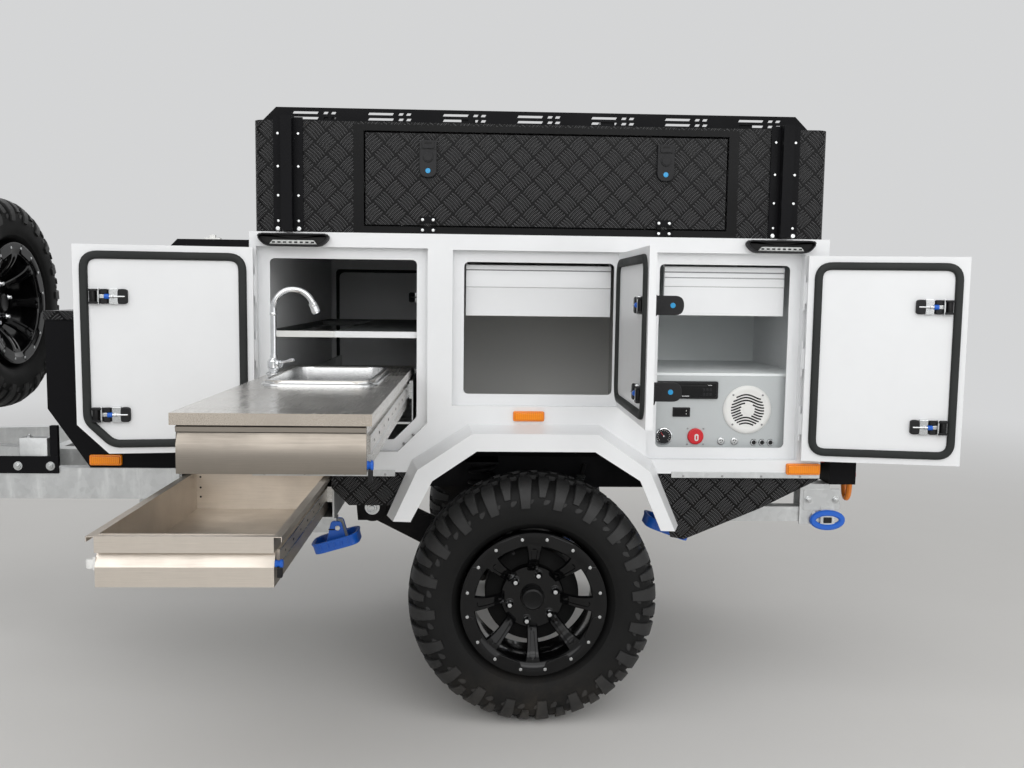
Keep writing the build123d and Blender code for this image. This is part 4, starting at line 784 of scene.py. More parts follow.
rimSize = {"front": 107.5, "ringInner": 170.0, "ringOuter": 212.0, "spokes": 8, "spokeWidth": 38.0,
           "spokeThick": 26.0, "hubDepth": 75.0, "hubRadius": 94.0, "studCircle": 69.85, "studs": 6,
           "studTurn": 13.5, "boltCircle": 194.0, "boltSpread": 10.5}


def spokes(s):
    # a grooved section whose top follows depth = 5 + 60*(1 - t)^1.7 from the ring to the hub
    r = np.linspace(82, s["ringInner"] + 3, 24)
    t = np.clip((r - 82) / (s["ringInner"] - 82), 0, 1)
    top = s["front"] - 5 - 60 * (1 - t) ** 1.7
    half = s["spokeWidth"] / 2 - 3.0 + 7.0 * t ** 3
    reach = np.clip(np.minimum(r - 92, s["ringInner"] - 6 - r) / 6, 0, 1)
    groove = (3.0 + 6.0 * t) * np.maximum(reach, 0.02)
    deep = 4.5 * reach
    low = top - s["spokeThick"]
    side = [(-half + 4, low), (-half, top - 5), (-half + 3, top), (-groove - 1.2, top), (-groove, top - deep),
            (groove, top - deep), (groove + 1.2, top), (half - 3, top), (half, top - 5), (half - 4, low)]
    across = np.stack([a for a, _ in side], 1)
    depth = np.stack([np.broadcast_to(b, r.shape) for _, b in side], 1)
    across = np.concatenate([across[:1] * 0, across, across[-1:] * 0])
    middle = depth.mean(1)
    depth = np.concatenate([np.full((1, 10), middle[0]), depth, np.full((1, 10), middle[-1])])
    reach = np.concatenate([r[:1], r, r[-1:]])[:, None] * np.ones((1, 10))
    angle = (np.pi / 2 + np.arange(s["spokes"]) * 2 * np.pi / s["spokes"])[:, None, None]
    x = reach * np.cos(angle) - across * np.sin(angle)
    y = reach * np.sin(angle) + across * np.cos(angle)
    return np.stack([x, y, np.broadcast_to(depth, x.shape)], -1), False, True


def around(shape, centres):
    # copies of one surface, moved to each centre
    points, closeU, closeV = shape
    return points[None] + np.asarray(centres, float)[:, None, None, :], closeU, closeV


def circlePoints(radius, angles, height):
    a = np.radians(angles)
    return np.stack([radius * np.cos(a), radius * np.sin(a), np.full(len(a), height)], 1)


def makeRim(kind, body, node, drum, s=rimSize):
    rim = Piece("wheelRim_" + kind, body, wheelPlace(kind))
    f, inner, outer = s["front"], s["ringInner"], s["ringOuter"]
    barrel = [(196, f - 10), (196, -f + 12), (206, -f + 9), (outer, -f + 8), (outer, -f + 2), (208, -f),
              (198, -f + 4), (186, -f + 16), (180, -40), (176, 40), (184, f - 12)]
    points, _, _ = lathe(barrel, count=96)
    rim.add(rimBlack, (points, True, True))
    ring = [(inner, f - 16), (inner, f - 8), (inner + 2, f - 5), (inner + 14, f - 1.8), (outer - 26, f - 0.4),
            (outer - 8, f), (outer - 1.5, f - 0.6), (outer, f - 3), (outer, f - 12)]
    points, _, _ = lathe(ring, count=96)
    rim.add(rimBlack, (points, True, True), spokes(s))
    hub = f - s["hubDepth"]
    rim.add(rimBlack, lathe([(0, hub - 30), (s["hubRadius"], hub - 30), (s["hubRadius"], hub - 4),
                             (s["hubRadius"] - 3, hub), (36, hub), (34, hub + 10), (0, hub + 10)], count=64))
    rim.add(capBlack, lathe([(0, hub), (33, hub), (33, f - 50), (31, f - 46.5), (26, f - 44.5), (24, f - 45.4),
                             (0, f - 45.4)], count=48))
    spokeAngles = 90 + np.arange(s["spokes"]) * 360 / s["spokes"]
    boltAngles = np.concatenate([spokeAngles - s["boltSpread"], spokeAngles + s["boltSpread"]])
    rim.add(zincPlate, around(disc(5.2, -2, 2.3, (0, 0, 0), (0, 0, 1), 6, 0.8),
                              circlePoints(s["boltCircle"], boltAngles, f)))
    rim.add(rimBlack, around(disc(7.5, -6, 0.8, (0, 0, 0), (0, 0, 1), 18, 0.5),
                             circlePoints(s["boltCircle"], boltAngles, f - 0.6)))
    padAngle = np.radians(spokeAngles + 22.5)
    pad = rounded([(172, -30), (186, -43), (206.5, -36), (206.5, 36), (186, 43), (172, 30)], 3.0, 4)
    for a in padAngle:
        turned = ((0, 0, 0), (np.cos(a), np.sin(a), 0), (-np.sin(a), np.cos(a), 0), (0, 0, 1))
        rim.add(rimBlack, slab(pad, turned, f - 5, f + 1.4, 1.6))
    nutAngles = 90 - s["studTurn"] - np.arange(s["studs"]) * 360 / s["studs"]
    centres = circlePoints(s["studCircle"], nutAngles, hub)
    nut = [(0, -3), (11.5, -3), (11.5, 12), (9.5, 14), (8.6, 19), (6.0, 22.3), (0, 23)]
    rim.add(chrome, around(lathe(nut, count=12), centres))
    rim.add(rimBlack, around(lathe([(0, -2), (15, -2), (15, 1.2), (13, 2), (0, 2)], count=24), centres))
    valve = [(0, 0), (5, 0), (4, 16), (3, 18), (3, 30), (4.2, 31), (4.2, 40), (0, 40.5)]
    lean = (-0.45 * np.cos(np.radians(112)), -0.45 * np.sin(np.radians(112)), 1.0)
    rim.add(blackPlastic, lathe(valve, tuple(circlePoints(176, [112], f - 42)[0]), lean, 12))
    if drum:
        back = hub - 30
        rim.add(castIron, lathe([(0, back - 61), (126, back - 61), (140, back - 52), (140, back - 4), (134, back),
                                 (96, back + 0.5), (90, back + 3), (0, back + 3)], count=72))
    rim.make(replaces=[node], slot="rim_black")


makeRim("left", "wheel_left", "rim_left", True)
makeRim("right", "wheel_right", "rim_right", True)
makeRim("spare", "trailer", "spare_rim", False)
print("rims made")


# Doors: seals and latches. They are drawn on the closed left-hand door and swung with it.

doorTable = {
    # x from and to, z from and to, cut corner, side of the hinge, degrees the left one stands open
    "front": (-792.0, -311.0, 797.0, 1379.0, 84.0, -1, -172.0),
    "middle": (-240.0, 256.0, 932.0, 1376.0, 0.0, 1, 90.0),
    "rear": (324.0, 769.0, 779.0, 1377.0, 0.0, 1, 170.0),
}
doorSize = {"pivot": 678.0, "outer": 670.0, "inner": 652.0, "sealInset": 33.0, "sealHalf": 11.0,
            "sealHigh": 9.4, "latchInset": 96.0, "latchLow": 114.0, "middleLatchLow": 84.0,
            "latchHigh": 145.0}


def doorPlace(name, hand):
    x0, x1, _, _, _, hinge, swing = doorTable[name]
    pinX, pinY = (x0 if hinge < 0 else x1), -doorSize["pivot"]

    def place(p):
        if hand == "right":
            return mirrored(p)
        a, dx, dy = np.radians(swing), p[:, 0] - pinX, p[:, 1] - pinY
        return np.stack([pinX + dx * np.cos(a) - dy * np.sin(a),
                         pinY + dx * np.sin(a) + dy * np.cos(a), p[:, 2]], 1)
    return place


def doorSeal(name, s=doorSize):
    # a domed section carried round the lining, along the cut corner too
    x0, x1, z0, z1, cut = doorTable[name][:5]
    d, w, h = s["sealInset"], s["sealHalf"], s["sealHigh"]
    x0, x1, z0, z1 = x0 + d, x1 - d, z0 + d, z1 - d
    corners, radius = [(x0, z0), (x1, z0), (x1, z1), (x0, z1)], [38.0] * 4
    if cut:
        cut -= d * (2 - 2 ** 0.5)
        corners[1:2] = [(x1 - cut, z0), (x1, z0 + cut)]
        radius = [38.0, 20.0, 20.0, 38.0, 38.0]
    line = rounded(corners, radius, 8)
    path = np.stack([line[:, 0], np.full(len(line), 0.2 - s["inner"]), line[:, 1]], 1)
    half = [(w, 0), (w, 0.35 * h), (0.92 * w, 0.62 * h), (0.7 * w, 0.85 * h), (0.4 * w, 0.97 * h)]
    section = half + [(0, h)] + [(-x, z) for x, z in half[::-1]]
    return tube(path, section, closed=True, up=(0, 1, 0))


def outerLatch(piece, x, z, way, pulled):
    # recessed dish with a raised rim and a paddle, which stands out where it is pulled
    out = (x, -doorSize["outer"], z), (way, 0, 0), (0, 0, 1), (0, -1, 0)
    piece.add(blackPlastic, slab(rect(96, 54, 16), out, 0.3, 4.5, 1.5))
    line = rect(89, 47, 14)
    path = np.stack([x + way * line[:, 0], np.full(len(line), -doorSize["outer"] - 0.5), z + line[:, 1]], 1)
    piece.add(blackPlastic, tube(path, [(-3.4, 0), (-3.4, 9), (-1.8, 12.4), (1.8, 12.4), (3.4, 9), (3.4, 0)],
                                 closed=True, up=(0, -1, 0)))
    if pulled:
        plate = (x + way * 32.0, -doorSize["outer"], z), (0, -1, 0), (0, 0, 1), (-way, 0, 0)
        piece.add(blackPlastic, slab(rounded([(1, -24), (92, -24), (92, 24), (1, 24)], [3, 23, 23, 3], 9),
                                     plate, 0.0, 6.0, 1.6))
        piece.add(blackPlastic, disc(15, 5, 7.0, (x + way * 32.0, -doorSize["outer"] - 27, z), (-way, 0, 0), 32, 1.2))
        piece.add(cyanDot, disc(6.6, 5, 6.8, (x + way * 32.0, -doorSize["outer"] - 64, z), (-way, 0, 0), 24, 0.8))
    else:
        piece.add(blackPlastic, slab(rect(72, 38, 15, x=-5), out, 3.0, 10.5, 2.5, 1.2),
                  disc(13, 9, 13.0, (x + way * 12, -doorSize["outer"], z), (0, -1, 0), 28, 1.2))
        piece.add(cyanDot, disc(6.6, 9, 12.6, (x - way * 22, -doorSize["outer"], z), (0, -1, 0), 24, 0.8))
        piece.add(darkGap, slab(rect(11, 2.4, 0.8, x=12), out, 12.6, 13.4, 0.2))


def innerLatch(piece, x, z, way):
    # bolt housing on the lining: roller, zinc bracket, blue knob on a silver rod, zinc strap, end cap
    base = -doorSize["inner"]
    mid = (x, base, z), (way, 0, 0), (0, 0, 1), (0, 1, 0)

    def spot(s, high):
        return (x + way * s, base + high, z)

    piece.add(blackPlastic, slab(rect(100, 38, 6), mid, 0.3, 4.0, 1.0),
              slab(rect(26, 6, 1.5, x=-37, y=17), mid, 0.3, 16.5, 1.0),
              slab(rect(26, 6, 1.5, x=-37, y=-17), mid, 0.3, 16.5, 1.0),
              slab(rect(17, 13, 2.0, x=-10, y=13.5), mid, 3.0, 12.0, 1.2),
              slab(rect(17, 13, 2.0, x=-10, y=-13.5), mid, 3.0, 12.0, 1.2),
              slab(rect(25, 41, 9, x=37), mid, 0.3, 12.5, 3.0))
    piece.add(capBlack, disc(7.5, -14, 14, spot(-38, 9.5), (0, 0, 1), 20, 1.5))
    piece.add(zincPlate, slab(rect(4, 44, 1.2, x=-24), mid, 0.3, 15.5, 0.8),
              slab(rect(15, 11, 1.5, x=-16), mid, 0.3, 8.0, 1.0), slab(rect(24, 44, 2.0, x=14), mid, 0.3, 9.5, 1.5))
    piece.add(chrome, lathe([(0, 2), (3.6, 2), (3.6, 8), (5.2, 9), (5.2, 14), (3.6, 15), (3.4, 24), (2.6, 26),
                             (2.6, 42), (1.6, 44.5), (0, 45)], spot(0, 12.5), (way, 0, 0), 16))
    piece.add(bluePlastic, lathe([(0, -9), (5.5, -9), (6.8, -7.5), (6.8, -4), (6.2, -3), (6.8, -2), (6.8, 2),
                                  (5.5, 4), (0, 4)], spot(0, 12.0), (way, 0, 0), 14))


def makeDoorTrim(name, hand, s=doorSize):
    x0, x1, z0, z1, _, hinge, _ = doorTable[name]
    body, node = "door_" + name + "_" + hand, "latches_" + name + "_" + hand
    Piece("seal_" + name + "_" + hand, body, doorPlace(name, hand)).add(sealRubber, doorSeal(name)).make(sharp=60)
    way, free = (-1, x1 - s["latchInset"]) if hinge < 0 else (1, x0 + s["latchInset"])
    piece = Piece("latch_" + name + "_" + hand, body, doorPlace(name, hand))
    for z in (z0 + s["middleLatchLow" if name == "middle" else "latchLow"], z1 - s["latchHigh"]):
        outerLatch(piece, free, z, way, name == "middle" and hand == "left")
        innerLatch(piece, free, z, way)
    piece.make(replaces=[node], slot="black_plastic")


for doorName in doorTable:
    for hand in ("left", "right"):
        makeDoorTrim(doorName, hand)
print("door seals and latches made")


# Lamps: work lamps under the roof box, side markers and tail lamps

lampSize = {"workX": (-684.0, 692.0), "workZ": 1397.0, "side": 670.0, "tailX": 839.0, "tailY": 575.0,
            "tailZ": 803.0}
markerTable = [(-19.0, 904.0, 90.0, 29.0, 670.0), (787.0, 754.0, 100.0, 33.0, 670.0),
               (-1241.0, 760.5, 92.0, 31.0, 620.0)]


def ribbon(line, origin, ex, ey, up, section):
    # a closed line drawn on a face, with a section carried along it
    origin, ex, ey = (np.asarray(v, float) for v in (origin, ex, ey))
    return tube(origin + line[:, :1] * ex + line[:, 1:] * ey, section, closed=True, up=up)


def makeWorkLamps(s=lampSize):
    piece = Piece("workLamps", "trailer")
    outline = rounded([(-80, -18), (80, -18), (101, 7), (92, 18), (-92, 18), (-101, 7)], [16, 16, 9, 8, 8, 9], 6)
    for hand in (-1, 1):
        for x in s["workX"]:
            face = facing((x, hand * s["side"], s["workZ"]), "y", hand)
            piece.add(blackPlastic, slab(outline, face, 0.3, 17.0, 1.0),
                      ribbon(inset(outline, 2.6), *face[:3], face[3],
                             [(-2.6, 8), (-2.6, 26), (-1.2, 29.6), (1.2, 29.6), (2.6, 26), (2.6, 8)]))
            piece.add(darkGap, slab(inset(outline, 5.5), face, 15.0, 17.6, 0.3))
            strip = rounded([(-66, -12.5), (66, -12.5), (57, -1.0), (-57, -1.0)], 2.5, 4)
            piece.add(ledLens, slab(strip, face, 16.0, 25.0, 1.0))
            chips = np.stack([x + np.linspace(-54, 54, 8), np.full(8, hand * (s["side"] + 24.4)),
                              np.full(8, s["workZ"] - 7.0)], 1)
            piece.add(sealRubber, around(slab(rect(9, 4.4, 1.2), facing((0, 0, 0), "y", hand), 0, 0.9, 0.3), chips))
    piece.make(replaces=["work_lamps"])


def makeMarkers():
    piece = Piece("markerLamps", "trailer")
    for hand in (-1, 1):
        for x, z, width, height, side in markerTable:
            face = facing((x, hand * side, z), "y", hand)
            piece.add(amberLens, slab(rect(width, height, 6), face, 0.3, 9.0, 2.0),
                      slab(rect(width - 9, height - 9, 4), face, 8.0, 13.2, 1.8, 0.4))
            piece.add(orangePaint, ribbon(rect(width - 6, height - 6, 4), *face[:3], face[3],
                                          [(-1.0, 7), (-1.0, 9.8), (1.0, 9.8), (1.0, 7)]))
    piece.make(replaces=["marker_lamps"])


def makeTailLamps(s=lampSize):
    piece = Piece("tailLamps", "trailer")
    for hand in (-1, 1):
        face = facing((s["tailX"], hand * s["tailY"], s["tailZ"]), "x")
        piece.add(blackPlastic, slab(rect(150, 80, 9), face, 0.3, 9.0, 2.0))
        # stop lens outwards, turn lens inwards
        for lens, low, high in ((redLens, -70, 12), (amberLens, 14, 70)):
            piece.add(lens, slab(rect(high - low, 68, 6, x=(low + high) / 2 * -hand), face, 8.0, 24.5, 3.0, 1.0))
        for y in (-63, 63):
            piece.add(zincPlate, disc(3.4, 20, 26.0, (s["tailX"], hand * s["tailY"] + y, s["tailZ"] + 27), (1, 0, 0),
                                      12, 0.8))
    piece.make(replaces=["tail_lamps"])


makeWorkLamps()
makeMarkers()
makeTailLamps()
print("lamps made")


# Roof box: whale-tail latches and hinges of the two hatches, screws of the posts

hatchSize = {"side": 666.0, "hingeX": (-311.0, 359.0), "low": 1444.0, "tailHalf": 24.4, "tailLow": 1576.0,
             "tailTop": 1678.4, "postX": (-700.0, 700.0)}


def makeHatchTrim(hand, word, s=hatchSize):
    piece = Piece("hatchTrim_" + word, "hatch_" + word)
    fixed = Piece("hatchHinges_" + word, "trailer")
    for x in s["hingeX"]:
        face = facing((x, hand * s["side"], 0.0), "y", hand)
        half, low, top = s["tailHalf"], s["tailLow"], s["tailTop"]
        body = rounded([(-half, low), (half, low), (half, top), (-half, top)], [23.5, 23.5, 7, 7], 9)
        piece.add(blackPlastic, slab(body, face, 0.2, 10.6, 2.0),
                  slab(rect(34, 20, 3, y=top - 13), face, 9.0, 12.6, 1.2),
                  disc(15, 9, 13.0, (x, hand * s["side"], top - 46), (0, hand, 0), 36, 1.2))
        piece.add(darkGap, slab(rect(20, 6, 1.5, y=top - 8), face, 12.0, 13.0, 0.2),
                  slab(rect(46, 1.6, 0.5, y=top - 25), face, 10.2, 10.9, 0.2))
        piece.add(blackPlastic, disc(12.0, 12, 14.2, (x, hand * s["side"], top - 46), (0, hand, 0), 36, 0.8))
        piece.add(cyanDot, disc(7.2, 10, 11.8, (x, hand * s["side"], top - 84), (0, hand, 0), 28, 0.8))
        piece.add(blackPaint, slab(rect(46, 19, 2, y=s["low"] + 14.5), face, 0.2, 3.8, 0.8))
        fixed.add(blackPaint, slab(rect(50, 18, 2, y=s["low"] - 14), face, 3.2, 4.4, 0.8))
        for dx in (-15, 15):
            for dz, owner in ((15, piece), (-14, fixed)):
                owner.add(zincPlate, disc(4.6, 3, 6.0, (x + dx, hand * s["side"], s["low"] + dz), (0, hand, 0),
                                          16, 1.4))
    for x in s["postX"]:
        for z in (1450, 1520, 1600, 1690):
            for dx in (-28, 28):
                fixed.add(zincPlate, disc(4.0, 4.8, 7.2, (x + dx, hand * s["side"], z), (0, hand, 0), 14, 1.2))
    piece.make(slot="black_plastic")
    fixed.make()


makeHatchTrim(-1, "left")
makeHatchTrim(1, "right")
print("roof box fittings made")


# Springs, dampers and shackles

springSize = {"x": -150.0, "y": 452.0, "low": 512.0, "top": 731.0, "radius": 38.0, "wire": 7.0, "turns": 6.5,
              "damperLow": (80.0, 404.0), "damperTop": (170.0, 726.0)}


def makeSprings(s=springSize):
    piece = Piece("springs", "trailer")
    for hand in (-1, 1):
        y = hand * s["y"]
        t = np.linspace(0, 1, 200)
        angle = 2 * np.pi * s["turns"] * t
        rise = np.clip(t * 1.16 - 0.08, 0, 1)  # flat first and last turns
        coil = np.stack([s["x"] + s["radius"] * np.cos(angle), y + s["radius"] * np.sin(angle),
                         s["low"] + 8 + (s["top"] - s["low"] - 16) * rise], 1)
        piece.add(blackPaint, tube(coil, s["wire"], up=(0, 0, 1)))
        seat = [(0, 0.3), (46, 0.3), (46, 3), (31, 4), (29, 14), (0, 15)]
        piece.add(blackPaint, lathe(seat, (s["x"], y, s["low"]), (0, 0, 1), 40),
                  lathe(seat, (s["x"], y, s["top"]), (0, 0, -1), 40),
                  slab(rect(100, 108, 4, y=8 * -hand), facing((s["x"], y, s["top"]), "z"),
                       0, 7, 1))
        low, top = (np.array([p[0], y, p[1]]) for p in (s["damperLow"], s["damperTop"]))
        long = np.linalg.norm(top - low)
        piece.add(blackPaint, lathe([(0, 0), (14, 0), (14, 12), (19, 14), (19, long * 0.55), (16, long * 0.57),
                                     (7, long * 0.58), (7, long), (0, long)], low, top - low, 28))
        cuff = long * np.linspace(0.6, 0.9, 25)
        piece.add(sealRubber, lathe([(0, cuff[0])] + [(13 + 2.5 * (k % 2), h) for k, h in enumerate(cuff)]
                                    + [(0, cuff[-1])], low, top - low, 24))
    piece.make(replaces=["springs"])


shackleSize = {"x": 1004.3, "y": 460.0, "z": 706.0, "reach": 92.0, "half": 23.0, "wire": 9.0}


def makeShackles(s=shackleSize):
    # the bow follows y = -half cos(pi t) (1 + 0.12 sin(pi t)), z = 4 - (reach - 6) sin(pi t)^0.7
    piece = Piece("shackles", "trailer")
    t = np.linspace(0.0, 1.0, 41)
    for hand in (-1, 1):
        sine = np.sin(np.pi * t)
        bow = np.stack([np.full(41, s["x"]), hand * s["y"] - s["half"] * np.cos(np.pi * t) * (1 + 0.12 * sine),
                        s["z"] + 4 - (s["reach"] - 6) * sine ** 0.7], 1)
        piece.add(orangePaint, tube(bow, s["wire"], up=(1, 0, 0)))
        for way in (-1, 1):
            piece.add(orangePaint, lathe([(0, 12), (13, 12), (17, 14), (17, 29), (13, 31), (0, 31)],
                                         (s["x"], hand * s["y"], s["z"]), (0, way, 0), 28))
        piece.add(zincPlate, disc(11, -33, 33, (s["x"], hand * s["y"], s["z"]), (0, 1, 0), 24, 1))
        piece.add(redPlastic, disc(13.5, 31, 45, (s["x"], hand * s["y"], s["z"]), (0, hand, 0), 6, 2.5),
                  disc(16, 30.5, 33, (s["x"], hand * s["y"], s["z"]), (0, hand, 0), 28, 0.8))
    piece.make(replaces=["shackles"])


makeSprings()
makeShackles()
print("springs and shackles made")


# Control panel behind the rear door: speaker, radio, display, gauge and sockets

panelSize = {"face": -612.0, "speakerX": 633.0, "speakerZ": 921.0, "radioX": 454.0,
             "radioZ": 978.0, "meterX": 437.0, "meterZ": 912.0,
             "gauge": (386.0, 840.0, 26.0), "mains": (481.0, 840.0, 24.0),
             "chromeSockets": [(558.0, 826.0), (598.0, 826.0)],
             "jacks": [(656.0, 823.0), (681.0, 823.0), (706.0, 823.0)]}


def panelFrame(x, z):
    return facing((x, panelSize["face"], z), "y", -1)


def makeSpeaker(s=panelSize):
    # a domed cover; its slots follow z = z0 + 7 sin(2 pi (x + 30) / 100), clipped to a ring
    piece = Piece("speakerCover", "trailer")
    centre, out = np.array([s["speakerX"], s["face"], s["speakerZ"]]), (0, -1, 0)
    piece.add(whitePlastic, lathe([(0, -40), (61, -40), (61, 0.2), (72, 0.2), (72, 2.5), (70, 5.0), (64, 6.8),
                                   (56, 7.4), (54, 6.6), (52, 6.6), (0, 8.0)], centre, out, 72))
    outer, inner = 50.0, 21.0
    for z0 in np.arange(-46.5, 47, 8.45):
        x = np.linspace(-outer, outer, 161)
        z = z0 + 7.0 * np.sin(2 * np.pi * (x + 30) / 100)
        reach = np.hypot(x, z)
        keep = (reach < outer) & (reach > inner)
        edges = np.flatnonzero(np.diff(np.concatenate([[0], keep.astype(int), [0]])))
        for a, b in zip(edges[::2], edges[1::2]):
            if b - a > 6:
                high = 7.9 - 1.4 * (reach[a:b] / 54) ** 2
                path = np.stack([centre[0] + x[a:b], centre[1] - high, centre[2] + z[a:b]], 1)
                piece.add(darkGap, tube(path, [(-2.5, -0.4), (-1.8, 0.3), (1.8, 0.3), (2.5, -0.4)], up=out))
    for angle in np.radians([45, 135, 225, 315]):
        spot = centre + [62 * np.cos(angle), 0, 62 * np.sin(angle)]
        piece.add(screwSteel, disc(3.2, 5.5, 8.3, spot, out, 14, 0.8))
        piece.add(darkGap, slab(rect(4.2, 1.0, 0.3), facing(spot, "y", -1), 8.0, 8.5, 0.1))
    piece.add(whitePlastic, disc(14, 7, 9.2, centre, out, 40, 1.2))
    piece.make(replaces=["speaker"], slot="speaker_white")


def makePanelDevices(s=panelSize):
    piece = Piece("panelFittings", "trailer")
    out = (0, -1, 0)
    radio = panelFrame(s["radioX"], s["radioZ"])
    piece.add(blackPlastic, slab(rect(179.4, 51.4, 5), radio, -110, 8.0, 2.0))
    piece.add(capBlack, slab(rect(168, 42, 4), radio, 7.5, 9.6, 0.8),
              slab(rect(104, 22, 3, x=-8, y=-4), radio, 9.2, 10.0, 0.4),
              disc(13, 9, 9.9, (s["radioX"] - 66, s["face"], s["radioZ"] - 2), out, 36, 0.6))
    piece.add(darkGap, slab(rect(122, 4.5, 1.8, x=-4, y=14), radio, 9.3, 9.9, 0.2))
    piece.add(steelBright, slab(rect(22, 2.2, 1, x=-8, y=-17.5), radio, 9.2, 10.0, 0.3),
              slab(rect(12, 1.4, 0.6, x=64, y=15), radio, 9.2, 9.9, 0.2))
    for x in (46, 56, 66):
        for y in (-12, 2):
            piece.add(blackPlastic, slab(rect(7.5, 9, 1.5, x=x, y=y), radio, 9.2, 10.0, 0.6))
    meter = panelFrame(s["meterX"], s["meterZ"])
    piece.add(blackPlastic, slab(rect(51.4, 27.4, 2.5), meter, -26, 3.6, 1.0))
    piece.add(capBlack, slab(rect(44, 20, 1.2), meter, 3.2, 4.0, 0.3))
    for y in (-4.5, 4.5):
        piece.add(whitePlastic, slab(rect(1.6, 4.0, 0.5, x=14, y=y), meter, 3.6, 4.2, 0.1))
    x, z, r = s["gauge"]
    spot = (x, s["face"], z)
    piece.add(chrome, lathe([(0, -20), (21, -20), (21, 0), (r, 0), (r, 3), (r - 1.5, 5.4), (r - 3.5, 6.0), (r - 5, 4.4),
                             (r - 5.4, 2.0), (0, 2.0)], spot, out, 56))
    piece.add(blackPlastic, disc(r - 5.2, 1.5, 2.8, spot, out, 48, 0.3))
    ticks = np.radians(np.linspace(-130, 130, 14))
    for a in ticks:
        way = np.array([np.sin(a), 0, np.cos(a)])
        face = (np.add(spot, way * (r - 8.5)), way, np.cross(out, way), out)
        piece.add(whitePlastic, slab(rect(3.6, 0.9, 0.3), face, 2.6, 3.1, 0.1))
    a = np.radians(-38)
    way = np.array([np.sin(a), 0, np.cos(a)])
    piece.add(redPlastic, slab(rect(17, 1.2, 0.4, x=6), (spot, way, np.cross(out, way), out), 3.0, 3.8, 0.2))
    piece.add(chrome, disc(2.4, 2.5, 4.6, spot, out, 18, 0.6))
    x, z, r = s["mains"]
    spot = (x, s["face"], z)
    piece.add(redPlastic, lathe([(0, -20), (19, -20), (19, 0), (r, 0), (r, 3.2), (r - 1.6, 5.2), (r - 4, 5.8),
                                 (r - 5, 4.8), (0, 4.8)], spot, out, 56),
              slab(rounded([(-3.2, 13), (3.2, 13), (1.5, 19), (-1.5, 19)], 0.8, 3), facing(spot, "y", -1),
                   4.5, 6.0, 0.4))
    piece.add(whitePlastic, slab(rect(12, 21, 6, x=2.5, y=-3), facing(spot, "y", -1), 4.4, 6.4, 0.8))
    piece.add(redPlastic, slab(rect(4.2, 12, 2, x=2.5, y=-3), facing(spot, "y", -1), 5.8, 7.2, 0.5))
    for dx in (-24, 24):
        for dz in (-23, 23):
            piece.add(screwSteel, disc(2.9, 0, 1.8, (x + dx, s["face"], z + dz), out, 14, 0.6))
    for x, z in s["chromeSockets"]:
        spot = (x, s["face"], z)
        piece.add(zincPlate, lathe([(0, -12), (7, -12), (7, 0), (11, 0), (11, 2.2), (9.4, 3.6), (7.6, 3.8), (0, 3.2)],
                                   spot, out, 32))
        for a in (0.4, 2.5, 4.6):
            piece.add(darkGap, disc(1.7, 3, 3.9, (x + 4.2 * np.cos(a), s["face"], z + 4.2 * np.sin(a)), out, 12, 0.2))
    for x, z in s["jacks"]:
        spot = (x, s["face"], z)
        piece.add(blackPlastic, disc(10.4, 0.2, 2.4, spot, out, 6, 0.6, 30))
        piece.add(chrome, lathe([(0, -12), (5, -12), (5, 0), (9, 0.5), (9, 3.5), (8, 4.6), (6.4, 4.6), (6, 2.4),
                                 (0, 2.4)], spot, out, 32))
        piece.add(darkGap, disc(5.9, 2, 2.9, spot, out, 24, 0.2))
    piece.make(replaces=["panel_devices"])


makeSpeaker()
makePanelDevices()
print("control panel fittings made")


# Kitchen bench: tap, sink, folded front, slides and latch knobs

benchSize = {"front": -1675.0, "top": 1035.0, "x0": -721.5, "x1": -358.5, "bodyX0": -709.5, "bodyX1": -370.5,
             "bodyFront": -1665.0, "low": 924.0, "sinkX": -540.0, "sinkY": -975.0, "sinkWide": 262.0,
             "sinkLong": 420.0, "bowlFloor": 937.0, "slideZ": 973.0, "tapX": -705.0, "tapY": -863.0,
             "bendZ": 1206.0, "bendRadius": 53.0, "bendEnd": 20.0}


